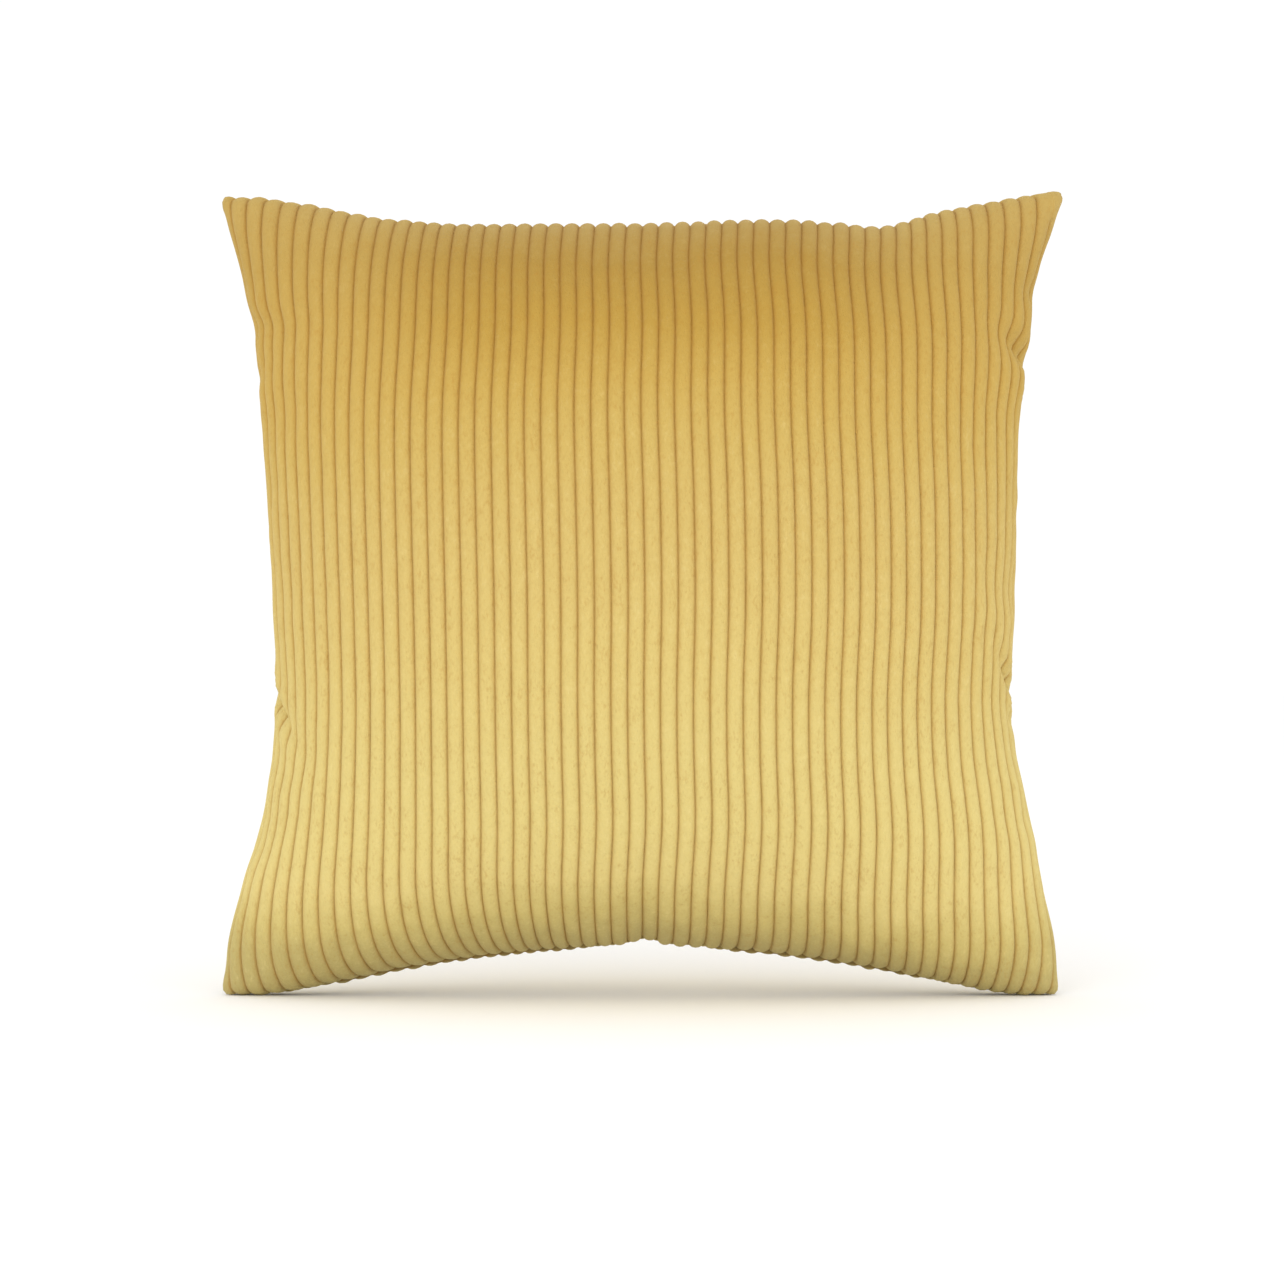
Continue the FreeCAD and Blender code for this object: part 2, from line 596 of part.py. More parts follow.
def make_pad_label(outside):
    """Satin label sewn flat on the lower left of the pad's front."""
    bulged = [face for face in outside.Shape.Faces if face.CenterOfMass.y < -sizes.pad_edge_half_depth]
    front_face = max(bulged, key=lambda face: face.Area)
    raised = front_face.extrude(FreeCAD.Vector(0, -sizes.label_thickness, 0))
    left = -(sizes.cover_width / 2 - worked.pad_side_inset) * 0.8
    low = sizes.cover_height * 0.14
    patch = Part.makeBox(sizes.pad_label_width, sizes.cover_depth, sizes.pad_label_height,
                         FreeCAD.Vector(left, -sizes.cover_depth, low))
    label = doc.addObject("Part::Feature", "pad_label")
    label.Shape = raised.common(patch)
    label.Label = "pad_label"
    return label


# ---------------------------------------------------------------- assembly

sub_parts = make_cover() + make_cover_threads() + make_care_label() + make_tapes()
sub_parts += [make_coil("zip_coil_front", -1, "0"),
              make_coil("zip_coil_back", 1, "Sizes.coil_pitch / 2 * Worked.degrees_along")]
sub_parts += make_stops() + [make_slider(), make_pull()] + make_zip_threads() + make_pad()
doc.recompute()

for item in doc.Objects:
    if "Invalid" in item.State or "Error" in item.State:
        raise RuntimeError(f"{item.Name} failed: {item.State}")
for item in sub_parts:
    shape = item.Shape
    if shape.isNull() or not shape.isValid() or not shape.Solids:
        raise RuntimeError(f"{item.Label} has no valid solid")

os.makedirs("parts", exist_ok=True)
for item in sub_parts:
    item.Shape.exportStep(f"parts/{item.Label}.step")
    print(f"{item.Label}: {len(item.Shape.Solids)} solids, {item.Shape.Volume:.1f} mm3")
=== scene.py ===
"""Looks of a square throw pillow in wide-ribbed corduroy, standing on its two lower corners.

Metres throughout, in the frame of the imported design: X is the width, Y runs from the front panel to the back
one, and Z is up from the floor.
"""

from __future__ import annotations

import json
import logging
import math
from dataclasses import dataclass, field, replace
from enum import Enum

import bpy
import numpy as np
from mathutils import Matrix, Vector

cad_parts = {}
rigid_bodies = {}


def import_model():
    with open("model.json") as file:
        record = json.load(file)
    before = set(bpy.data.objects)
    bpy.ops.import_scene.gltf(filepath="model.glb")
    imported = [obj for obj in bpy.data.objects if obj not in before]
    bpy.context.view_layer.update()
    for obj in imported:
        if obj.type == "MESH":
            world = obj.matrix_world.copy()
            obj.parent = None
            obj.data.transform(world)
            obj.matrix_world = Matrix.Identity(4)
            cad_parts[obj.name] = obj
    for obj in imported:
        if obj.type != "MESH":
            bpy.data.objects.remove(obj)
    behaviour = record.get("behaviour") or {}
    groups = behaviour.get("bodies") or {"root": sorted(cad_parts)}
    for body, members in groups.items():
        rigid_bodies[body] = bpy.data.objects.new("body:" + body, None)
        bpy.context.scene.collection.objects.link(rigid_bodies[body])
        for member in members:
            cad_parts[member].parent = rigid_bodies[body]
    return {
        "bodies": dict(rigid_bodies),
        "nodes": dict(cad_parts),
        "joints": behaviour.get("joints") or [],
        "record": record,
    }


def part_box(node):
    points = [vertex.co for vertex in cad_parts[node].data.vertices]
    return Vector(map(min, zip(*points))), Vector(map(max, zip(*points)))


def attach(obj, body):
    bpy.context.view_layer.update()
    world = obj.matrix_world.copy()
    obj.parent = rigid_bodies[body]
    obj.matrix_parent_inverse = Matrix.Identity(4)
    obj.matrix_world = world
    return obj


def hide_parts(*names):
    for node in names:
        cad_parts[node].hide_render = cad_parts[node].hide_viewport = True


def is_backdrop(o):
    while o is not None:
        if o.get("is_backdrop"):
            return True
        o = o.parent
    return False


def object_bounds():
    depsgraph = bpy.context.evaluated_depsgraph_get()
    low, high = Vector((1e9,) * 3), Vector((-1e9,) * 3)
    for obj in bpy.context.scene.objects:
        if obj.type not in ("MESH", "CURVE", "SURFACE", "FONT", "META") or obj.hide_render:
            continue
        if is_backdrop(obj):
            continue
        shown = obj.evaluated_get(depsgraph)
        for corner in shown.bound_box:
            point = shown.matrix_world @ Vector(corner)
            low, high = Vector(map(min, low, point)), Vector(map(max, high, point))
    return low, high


logging.basicConfig(level=logging.INFO, format="%(message)s")
LOG = logging.getLogger("throw_pillow")

MM = 0.001
FLAT_SIDE = 0.45  # the cover as it was cut, inside its seams
WALES = 54  # wales across each panel
SLIT_HALF = 191 * MM  # from the middle of the bottom seam to the end of the parted lips


# ---------------------------------------------------------------- shader expressions

def linear(red: float, green: float, blue: float) -> tuple[float, float, float, float]:
    """Scene-linear colour of a display colour given from 0 to 255.

    Args:
        red: red, from 0 to 255.
        green: green.
        blue: blue.

    Returns:
        Red, green, blue and an opaque alpha.
    """
    def one(value: float) -> float:
        """Scene-linear value of one channel."""
        share = value / 255
        return share / 12.92 if share <= 0.04045 else ((share + 0.055) / 1.055) ** 2.4
    return (one(red), one(green), one(blue), 1.0)


class Shade:
    """A number or a colour that varies over a surface, held as a shader socket."""

    def __init__(self, paint: "Paint", socket: bpy.types.NodeSocket) -> None:
        """Wraps a socket of a paint's node tree."""
        self.paint = paint
        self.socket = socket

    def maths(self, operation: str, *values: "Shade | float", clamp: bool = False) -> "Shade":
        """Adds one Math node.

        Args:
            operation: the Math node's operation.
            values: its inputs, in order.
            clamp: whether the result is held between 0 and 1.

        Returns:
            The result as a new Shade.
        """
        settings = {"operation": operation, "use_clamp": clamp}
        return self.paint.node("ShaderNodeMath", settings, dict(enumerate(values)))

    def __add__(self, other: "Shade | float") -> "Shade":
        """Sum."""
        return self.maths("ADD", self, other)

    __radd__ = __add__

    def __sub__(self, other: "Shade | float") -> "Shade":
        """Difference."""
        return self.maths("SUBTRACT", self, other)

    def __rsub__(self, other: float) -> "Shade":
        """Difference with the number first."""
        return self.maths("SUBTRACT", other, self)

    def __mul__(self, other: "Shade | float") -> "Shade":
        """Product."""
        return self.maths("MULTIPLY", self, other)

    __rmul__ = __mul__

    def __truediv__(self, other: "Shade | float") -> "Shade":
        """Quotient."""
        return self.maths("DIVIDE", self, other)

    def part(self) -> "Shade":
        """Fractional part."""
        return self.maths("FRACT", self)

    def size(self) -> "Shade":
        """Absolute value."""
        return self.maths("ABSOLUTE", self)

    def sine(self) -> "Shade":
        """Sine of the value in radians."""
        return self.maths("SINE", self)

    def held(self) -> "Shade":
        """Value held between 0 and 1."""
        return self.maths("ADD", self, 0.0, clamp=True)

    def step(self, low: float, high: float) -> "Shade":
        """Smooth rise from 0 at low to 1 at high."""
        settings = {"interpolation_type": "SMOOTHSTEP"}
        inputs = {"Value": self, "From Min": low, "From Max": high}
        return self.paint.node("ShaderNodeMapRange", settings, inputs)


class Paint:
    """A node material, built from expressions."""

    def __init__(self, name: str) -> None:
        """Starts a material with one Principled shader.

        Args:
            name: the material's name.
        """
        self.material = bpy.data.materials.new(name)
        self.material.use_nodes = True
        self.tree = self.material.node_tree
        self.tree.nodes.clear()
        self.shader = self.tree.nodes.new("ShaderNodeBsdfPrincipled")
        output = self.tree.nodes.new("ShaderNodeOutputMaterial")
        self.tree.links.new(self.shader.outputs["BSDF"], output.inputs["Surface"])

    def feed(self, socket: bpy.types.NodeSocket, value: "Shade | float | tuple") -> None:
        """Links a Shade to an input socket, or sets it to a constant.

        Args:
            socket: the input.
            value: the Shade, number or colour that goes into it.
        """
        if isinstance(value, Shade):
            self.tree.links.new(value.socket, socket)
        else:
            socket.default_value = value

    def node(self, kind: str, settings: dict | None = None, inputs: dict | None = None,
             out: int | str = 0) -> Shade:
        """Adds one node.

        Args:
            kind: the node's type.
            settings: its properties; a list of (place, colour) under "stops" sets a colour ramp.
            inputs: values or Shades by socket name or number.
            out: the output that is returned.

        Returns:
            One of the node's outputs.
        """
        made = self.tree.nodes.new(kind)
        for name, value in (settings or {}).items():
            if name != "stops":
                setattr(made, name, value)
                continue
            ramp = made.color_ramp
            while len(ramp.elements) > 1:
                ramp.elements.remove(ramp.elements[0])
            for number, (place, colour) in enumerate(value):
                stop = ramp.elements[0] if number == 0 else ramp.elements.new(place)
                stop.position = place
                stop.color = colour
        for name, value in (inputs or {}).items():
            self.feed(made.inputs[name], value)
        return Shade(self, made.outputs[out])

    def cloth_place(self, axis: str) -> Shade:
        """Distance on the flat cloth in metres, from its stored layout; axis is X, across, or Y, up."""
        layout = self.node("ShaderNodeUVMap", {"uv_map": "cloth"})
        return self.node("ShaderNodeSeparateXYZ", {}, {0: layout}, out=axis)

    def axes(self) -> dict[str, Shade]:
        """Place in the object's own space, in metres, by axis.

        Returns:
            One Shade for each of X, Y and Z.
        """
        place = self.node("ShaderNodeTexCoord", {}, out="Object")
        return {axis: self.node("ShaderNodeSeparateXYZ", {}, {0: place}, out=axis) for axis in "XYZ"}

    def noise(self, scale: float, detail: float = 3.0, stretch: tuple = (1, 1, 1)) -> Shade:
        """Soft random field around 0.5, in the object's own space.

        Args:
            scale: lumps to the metre.
            detail: how many finer layers are added.
            stretch: scale of each axis.

        Returns:
            The field.
        """
        place = self.node("ShaderNodeTexCoord", {}, out="Object")
        moved = self.node("ShaderNodeMapping", {}, {"Vector": place, "Scale": stretch})
        return self.node("ShaderNodeTexNoise", {}, {"Vector": moved, "Scale": scale, "Detail": detail}, out=0)

    def mix(self, share: Shade | float, low: Shade | tuple, high: Shade | tuple) -> Shade:
        """Mixes two colours by a share from 0, all low, to 1, all high."""
        return self.node("ShaderNodeMix", {"data_type": "RGBA"}, {0: share, 6: low, 7: high}, out=2)

    def bump(self, height: Shade, distance: float, strength: float = 1.0) -> None:
        """Feeds the shader's normal from a height field; distance is the height of 1, in metres."""
        inputs = {"Height": height, "Distance": distance, "Strength": strength}
        self.set(Normal=self.node("ShaderNodeBump", {}, inputs))

    def set(self, **values: "Shade | float | tuple") -> "Paint":
        """Sets inputs of the Principled shader, with underscores for the spaces of their names.

        Args:
            values: a Shade, number or colour for each input.

        Returns:
            The paint itself.
        """
        for name, value in values.items():
            self.feed(self.shader.inputs[name.replace("_", " ")], value)
        return self


# ---------------------------------------------------------------- finishes

@dataclass(frozen=True)
class CorduroyFinish:
    """Mustard corduroy: cut pile on broad wales, with painted shade in the grooves between them."""

    name: str
    wales: int
    flat_side: float
    # painted light: the lighter tone of the upper sides, where the pile faces sideways rather than up
    beside: tuple = linear(203, 173, 100)
    pale: tuple = linear(240, 222, 158)
    # darker tone for random rubbed patches, and painted shade on the wale flanks and in the grooves
    groove_shade_and_mottle: tuple = linear(176, 124, 48)
    # painted shadow colour along the bottom seam
    seam_shadow: tuple = linear(112, 76, 30)
    # painted light and shade up the height: darker at the bottom rim and in a band near the top, lightest in
    # the lower part
    painted_shade_by_height: tuple = ((0, (186, 170, 110)), (0.06, (190, 173, 110)), (0.10, (207, 188, 118)),
                  (0.15, (221, 201, 130)), (0.22, (220, 200, 128)), (0.32, (217, 196, 124)),
                  (0.42, (213, 189, 116)), (0.5, (210, 184, 111)), (0.6, (206, 178, 104)),
                  (0.67, (202, 172, 95)), (0.74, (196, 162, 82)), (0.82, (185, 148, 67)),
                  (0.9, (174, 138, 63)), (0.95, (177, 144, 75)), (1, (184, 154, 86)))

    def material(self) -> bpy.types.Material:
        """Builds the pile: painted light and shade by height and side, mottling, painted shade on flanks,
        grooves and bottom seam, and fibre bump.

        Returns:
            The material.
        """
        paint = Paint(self.name)
        along = paint.cloth_place("Y") / self.flat_side
        phase = (paint.cloth_place("X") * (self.wales / self.flat_side)).part()
        from_crest = (phase - 0.5).size() * 2
        cloud = paint.noise(11, 3, (0.6, 1, 1.3)) - 0.5
        mottle = paint.noise(60, 4, (1, 1, 0.7)) - 0.5
        pile = paint.noise(900, 3, (1, 1, 0.45)) - 0.5
        grain = paint.noise(260, 3, (1, 1, 0.6)) - 0.5
        height = along + cloud * 0.10 + mottle * 0.05
        # painted light and shade by height on the cloth, varied by noise
        stops = [(place, linear(*tone)) for place, tone in self.painted_shade_by_height]
        shaded_by_height = paint.node("ShaderNodeValToRGB", {"stops": stops}, {0: height})
        # painted light: the upper part turns lighter away from the middle, where the pile faces sideways
        side_light_share = paint.axes()["X"].size().step(0.07, 0.17) * height.step(0.62, 0.8) * 0.4
        side_lit = paint.mix(side_light_share, shaded_by_height, self.beside)
        bloom = 0.30 - height.step(0.55, 0.85) * 0.20
        light = paint.mix((mottle * 0.6 + grain * 0.9 + pile * 1.2).step(0.0, 0.7) * bloom, side_lit, self.pale)
        rubbed = (mottle * -0.7 - grain * 1.0 - pile * 1.5).step(0.0, 0.7) * 0.36
        dark = paint.mix(rubbed, light, self.groove_shade_and_mottle)
        # painted shade on the flanks of each wale, darker away from its crest
        flank_shade = from_crest.step(0.30, 1.0) * 0.16
        # painted shade along the grooves between the wales, with a wandering edge
        wander = (paint.noise(240, 2, (1, 1, 0.4)) - 0.5) * 0.08
        line = (from_crest + wander).step(0.76, 1.0) * 0.34
        # painted shadow along the bottom seam, within 3.5 mm of the lower edge of the cloth
        seam_shadow_share = 1 - paint.cloth_place("Y").step(0.0, 0.0035)
        paint.set(Base_Color=paint.mix(seam_shadow_share * 0.55, paint.mix(flank_shade + line, dark, self.groove_shade_and_mottle), self.seam_shadow))
        paint.set(Roughness=0.93, Sheen_Weight=0.30, Sheen_Roughness=0.42, Sheen_Tint=linear(250, 232, 178))
        paint.set(Specular_IOR_Level=0.12)
        fibre = paint.noise(2400, 3, (1, 1, 0.3)) * 0.6 + paint.noise(800, 2, (1, 1, 0.4)) * 0.7
        paint.bump(fibre, 0.0009, 0.8)
        return paint.material


@dataclass(frozen=True)
class WovenFinish:
    """Plain or herringbone woven cloth."""

    name: str
    thread: tuple
    gap: tuple
    pitch: float
    slant: float = 0.0
    roughness: float = 0.88

    def material(self) -> bpy.types.Material:
        """Builds crossing threads from two waves over object space.

        Returns:
            The material.
        """
        paint = Paint(self.name)
        axes = paint.axes()
        turn = 2 * math.pi / self.pitch
        warp = ((axes["X"] + axes["Y"] * 0.5 + axes["Z"] * self.slant) * turn).sine()
        weft = ((axes["Z"] + axes["Y"] * 0.5) * turn).sine()
        weave = warp * weft * 0.5 + 0.5
        tone = (weave + (paint.noise(90, 4) - 0.5) * 0.5).held()
        paint.set(Base_Color=paint.mix(tone, self.gap, self.thread), Roughness=self.roughness)
        paint.set(Sheen_Weight=0.2, Sheen_Roughness=0.5)
        paint.bump(weave, 0.00012, 0.8)
        return paint.material


@dataclass(frozen=True)
class ThreadFinish:
    """Spun sewing thread with its twist."""

    name: str
    colour: tuple
    dark: tuple

    def material(self) -> bpy.types.Material:
        """Builds diagonal plies.

        Returns:
            The material.
        """
        paint = Paint(self.name)
        axes = paint.axes()
        ply = ((axes["X"] + axes["Y"] * 1.4 + axes["Z"]) * 9000).sine() * 0.5 + 0.5
        tone = (ply * 0.7 + paint.noise(1500, 2) * 0.4).held()
        paint.set(Base_Color=paint.mix(tone, self.dark, self.colour), Roughness=0.7, Sheen_Weight=0.25)
        paint.bump(ply, 0.00008, 0.8)
        return paint.material


@dataclass(frozen=True)
class SatinFinish:
    """Blank satin label ribbon."""

    name: str
    colour: tuple = linear(238, 236, 230)
    dark: tuple = linear(205, 202, 194)

    def material(self) -> bpy.types.Material:
        """Builds long floats with a soft gloss.

        Returns:
            The material.
        """
        paint = Paint(self.name)
        streak = paint.noise(1400, 2, (0.15, 1, 1))
        paint.set(Base_Color=paint.mix(streak.step(0.3, 0.7), self.dark, self.colour))
        paint.set(Roughness=streak * 0.2 + 0.28, Sheen_Weight=0.3)
        paint.bump(streak, 0.00005, 0.6)
        return paint.material


@dataclass(frozen=True)
class NylonFinish:
    """Dyed nylon monofilament."""

    name: str
    colour: tuple = linear(196, 158, 82)
    dark: tuple = linear(160, 122, 54)

    def material(self) -> bpy.types.Material:
        """Builds a smooth, slightly waxy plastic.

        Returns:
            The material.
        """
        paint = Paint(self.name)
        cloud = paint.noise(300, 3)
        paint.set(Base_Color=paint.mix(cloud.step(0.35, 0.7), self.dark, self.colour))
        paint.set(Roughness=cloud * 0.2 + 0.25, Coat_Weight=0.15)
        paint.bump(cloud, 0.00003, 0.4)
        return paint.material


@dataclass(frozen=True)
class EnamelFinish:
    """Die-cast metal with dyed enamel that handling has scuffed through in spots."""

    name: str
    colour: tuple = linear(186, 146, 72)
    bare: tuple = linear(196, 190, 178)

    def material(self) -> bpy.types.Material:
        """Builds enamel over metal, bare where handling has scuffed it.

        Returns:
            The material.
        """
        paint = Paint(self.name)
        scuff = (paint.noise(420, 5) * 0.7 + paint.noise(2600, 2) * 0.3).step(0.60, 0.68)
        paint.set(Base_Color=paint.mix(scuff, self.colour, self.bare), Metallic=scuff)
        paint.set(Roughness=0.42 - scuff * 0.12, Coat_Weight=0.3, Coat_Roughness=0.2)
        paint.bump(paint.noise(900, 3) - scuff * 0.3, 0.00004, 0.6)
        return paint.material


@dataclass(frozen=True)
class WireFinish:
    """Crimped zip wire."""

    name: str
    colour: tuple = linear(190, 184, 172)
    dark: tuple = linear(120, 114, 104)

    def material(self) -> bpy.types.Material:
        """Builds drawn metal with fine streaks.

        Returns:
            The material.
        """
        paint = Paint(self.name)
        streak = paint.noise(2400, 3, (0.2, 1, 1))
        paint.set(Base_Color=paint.mix(streak.step(0.35, 0.65), self.dark, self.colour), Metallic=1.0)
        paint.set(Roughness=streak * 0.25 + 0.25)
        paint.bump(streak, 0.00003, 0.5)
        return paint.material


@dataclass(frozen=True)
class WaddingFinish:
    """Crimped polyester fibre."""

    name: str
    colour: tuple = linear(244, 244, 241)
    dark: tuple = linear(208, 208, 205)

    def material(self) -> bpy.types.Material:
        """Builds tangled strands from stretched noise.

        Returns:
            The material.
        """
        paint = Paint(self.name)
        tangle = paint.noise(500, 5, (1, 0.2, 1)) * 0.5 + paint.noise(420, 5, (0.2, 1, 0.7)) * 0.5
        paint.set(Base_Color=paint.mix(tangle.step(0.35, 0.62), self.dark, self.colour), Roughness=0.95)
        paint.set(Sheen_Weight=0.5, Sheen_Roughness=0.6)
        paint.bump(tangle, 0.0012, 0.8)
        return paint.material


# ---------------------------------------------------------------- mesh helpers

class Side(Enum):
    """The two faces of the pillow, by the sign of their Y."""

    FRONT = -1
    BACK = 1


def smooth_step(value: np.ndarray | float, low: float, high: float) -> np.ndarray:
    """Smooth rise from 0 at low to 1 at high."""
    share = np.clip((np.asarray(value, float) - low) / (high - low), 0, 1)
    return share * share * (3 - 2 * share)


def resampler(knots: int, places: np.ndarray) -> np.ndarray:
    """Matrix that reads a row of evenly spaced knots at places from 0 to 1, along a smooth curve.

    Args:
        knots: how many knots the row has.
        places: where to read it.

    Returns:
        One row of weights for each place.
    """
    at = places * (knots - 1)
    cell = np.clip(np.floor(at).astype(int), 0, knots - 2)
    t = at - cell
    weights = np.stack([-t + 2 * t**2 - t**3, 2 - 5 * t**2 + 3 * t**3,
                        t + 4 * t**2 - 3 * t**3, t**3 - t**2]) / 2
    matrix = np.zeros((len(places), knots))
    for offset, weight in zip((-1, 0, 1, 2), weights):
        reached = cell + offset
        inside = np.clip(reached, 0, knots - 1)
        np.add.at(matrix, (np.arange(len(places)), inside), weight)
        for edge, inner in ((0, 1), (knots - 1, knots - 2)):
            past = (reached < 0) if edge == 0 else (reached > knots - 1)
            rows = np.arange(len(places))[past]
            np.add.at(matrix, (rows, np.full(len(rows), edge)), weight[past])
            np.add.at(matrix, (rows, np.full(len(rows), inner)), -weight[past])
    return matrix


def surface_normals(grid: np.ndarray, side: Side) -> np.ndarray:
    """Outward unit normals of a grid of points, first index across and second index up.

    Args:
        grid: points, n by m by 3.
        side: the side of the pillow that it is on.

    Returns:
        A vector for each point.
    """
    across = np.gradient(grid, axis=0)
    up = np.gradient(grid, axis=1)
    normal = np.cross(across, up) * -side.value
    return normal / np.maximum(np.linalg.norm(normal, axis=2, keepdims=True), 1e-12)


def blur(grid: np.ndarray, passes: int) -> np.ndarray:
    """Averages a grid with its neighbours, inside and along its edges, with its corners held.

    Args:
        grid: the values.
        passes: how often they are averaged.

    Returns:
        The smoothed grid.
    """
    for _ in range(passes):
        inner = grid.copy()
        inner[1:-1, 1:-1] = (grid[:-2, 1:-1] + grid[2:, 1:-1] + grid[1:-1, :-2] + grid[1:-1, 2:]
                             + 4 * grid[1:-1, 1:-1]) / 8
        for edge in (0, -1):
            inner[edge, 1:-1] = (grid[edge, :-2] + grid[edge, 2:] + 2 * grid[edge, 1:-1]) / 4
            inner[1:-1, edge] = (grid[:-2, edge] + grid[2:, edge] + 2 * grid[1:-1, edge]) / 4
        grid = inner
    return grid


def add_object(name: str, points: np.ndarray, faces: list, material: bpy.types.Material) -> bpy.types.Object:
    """Makes a smooth-shaded mesh object.

    Args:
        name: the piece's name.
        points: its vertices, in metres.
        faces: vertex numbers of each face.
        material: its finish.

    Returns:
        The object, linked into the scene.
    """
    mesh = bpy.data.meshes.new(name)
    mesh.from_pydata(points.tolist(), [], faces)
    mesh.validate()
    mesh.polygons.foreach_set("use_smooth", [True] * len(mesh.polygons))
    mesh.materials.append(material)
    made = bpy.data.objects.new(name, mesh)
    bpy.context.scene.collection.objects.link(made)
    return made


def grid_faces(columns: int, rows: int, start: int, flip: bool) -> list:
    """Quads of a grid whose vertices run row by row inside each column.

    Args:
        columns: how many columns the grid has.
        rows: how many rows.
        start: its first vertex number.
        flip: whether the faces are turned the other way.

    Returns:
        The vertex numbers of each face.
    """
    faces = []
    for i in range(columns - 1):
        for j in range(rows - 1):
            first = start + i * rows + j
            quad = [first, first + rows, first + rows + 1, first + 1]
            faces.append(quad[::-1] if flip else quad)
    return faces


def closed_sheet(top: np.ndarray, low: np.ndarray, flip: bool = False) -> tuple[np.ndarray, list]:
    """Closes two grids of points into one thin solid.

    Args:
        top: the outer face, n by m by 3.
        low: the inner face, the same size.
        flip: whether the faces are turned the other way.

    Returns:
        Vertices and faces.
    """
    columns, rows = top.shape[:2]
    size = columns * rows
    faces = grid_faces(columns, rows, 0, flip) + grid_faces(columns, rows, size, not flip)
    border = [i * rows for i in range(columns)] + [(columns - 1) * rows + j for j in range(1, rows)]
    border += [i * rows + rows - 1 for i in reversed(range(columns - 1))]
    border += list(reversed(range(1, rows - 1)))
    for here, there in zip(border, border[1:] + border[:1]):
        face = [there, here, here + size, there + size]
        faces.append(face[::-1] if flip else face)
    return np.vstack([top.reshape(-1, 3), low.reshape(-1, 3)]), faces


def stand_for(piece: bpy.types.Object, node: str) -> bpy.types.Object:
    """Attaches a piece to the cover's body and hides the design node that it stands for.

    Args:
        piece: the piece.
        node: the design node that it stands for.

    Returns:
        The same piece.
    """
    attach(piece, "cover")
    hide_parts(node)
    return piece


def lay_cloth(piece: bpy.types.Object, across: np.ndarray, along: np.ndarray) -> None:
    """Stores each vertex's place on the flat cloth, in metres, as the layout that finishes read.

    Args:
        piece: the piece.
        across: each vertex's place across the cloth.
        along: its place up the cloth.
    """
    layer = piece.data.uv_layers.new(name="cloth")
    corners = np.empty(len(piece.data.loops), int)
    piece.data.loops.foreach_get("vertex_index", corners)
    layer.data.foreach_set("uv", np.column_stack([across[corners], along[corners]]).ravel())


# ---------------------------------------------------------------- cloth

@dataclass
class InflatedSquare:
    """Two square panels sewn round their edge and blown up, as a stuffed cover is."""

    side: float = FLAT_SIDE
    cells: int = 90
    enlarged: float = 10.0
    pressure: float = 0.7
    frames: int = 60
    first_lift: float = 0.02
    quick_lift: float = 0.085
    key_of: dict = field(default_factory=dict)

    def number(self, side: int, i: int, j: int) -> int:
        """Vertex number of a grid point; both panels share the points of the seam.

        Args:
            side: -1 for the front, 1 for the back.
            i: column.
            j: row.

        Returns:
            The number, new or known.
        """
        seam = i in (0, self.cells) or j in (0, self.cells)
        key = (0 if seam else side, i, j)
        return self.key_of.setdefault(key, len(self.key_of))

    def build(self, lift: float) -> bpy.types.Object:
        """Makes the flat, closed bag with a little lift to start from.

        Args:
            lift: how far the middle of each panel starts from the seam plane.

        Returns:
            The bag, larger than life.
        """
        steps = np.linspace(-1, 1, self.cells + 1)
        faces = []
        for side in (-1, 1):
            for i in range(self.cells):
                for j in range(self.cells):
                    quad = [self.number(side, *at) for at in ((i, j), (i + 1, j), (i + 1, j + 1), (i, j + 1))]
                    faces.append(quad if side < 0 else quad[::-1])
        points = np.zeros((len(self.key_of), 3))
        half = self.side / 2
        for (side, i, j), number in self.key_of.items():
            u, v = steps[i], steps[j]
            points[number] = (u * half, side * lift * math.sqrt((1 - u * u) * (1 - v * v)), v * half)
        mesh = bpy.data.meshes.new("bag")
        mesh.from_pydata((points * self.enlarged).tolist(), [], faces)
        bag = bpy.data.objects.new("bag", mesh)
        bpy.context.scene.collection.objects.link(bag)
        return bag

    def inflate(self) -> dict[Side, np.ndarray]:
        """Runs the cloth simulation.

        Returns:
            For each side, its grid of points: first index across, second index up.
        """
        bag = self.build(self.first_lift)
        self.simulate(bag)
        shape = bag.evaluated_get(bpy.context.evaluated_depsgraph_get()).to_mesh()
        flat = np.empty(len(shape.vertices) * 3)
        shape.vertices.foreach_get("co", flat)
        points = flat.reshape(-1, 3) / self.enlarged
        bpy.data.objects.remove(bag)
        count = self.cells + 1
        return {side: np.array([[points[self.number(side.value, i, j)] for j in range(count)]
                                for i in range(count)]) for side in Side}

    def simulate(self, bag: bpy.types.Object) -> None:
        """Lets air pressure fill the bag.

        Args:
            bag: the bag, which keeps its modifier until its shape has been read.
        """
        cloth = bag.modifiers.new("Cloth", "CLOTH")
        settings = cloth.settings
        settings.quality = 5
        settings.air_damping = 3.0
        settings.bending_stiffness = 0.5
        settings.use_pressure = True
        settings.uniform_pressure_force = self.pressure
        settings.effector_weights.gravity = 0
        cloth.collision_settings.use_collision = False
        cloth.point_cache.frame_end = self.frames
        scene = bpy.context.scene
        for frame in range(1, self.frames + 1):
            scene.frame_set(frame)

    @staticmethod
    def wrinkles(shapes: dict[Side, np.ndarray]) -> dict[Side, np.ndarray]:
        """What is left of the two shapes once the calm form that they share is taken away.

        Args:
            shapes: what inflate gives.

        Returns:
            For each side, the move from the calm form to the wrinkled one, in metres.
        """
        calm = np.zeros_like(shapes[Side.FRONT])
        for side, shape in shapes.items():
            for x_way in (1, -1):
                for z_way in (1, -1):
                    calm += shape[::x_way, ::z_way] * (x_way, -side.value, z_way) / 8
        found = {}
        for side, shape in shapes.items():
            found[side] = blur(shape - blur(calm * (1, -side.value, 1), 10), 2)
        return found


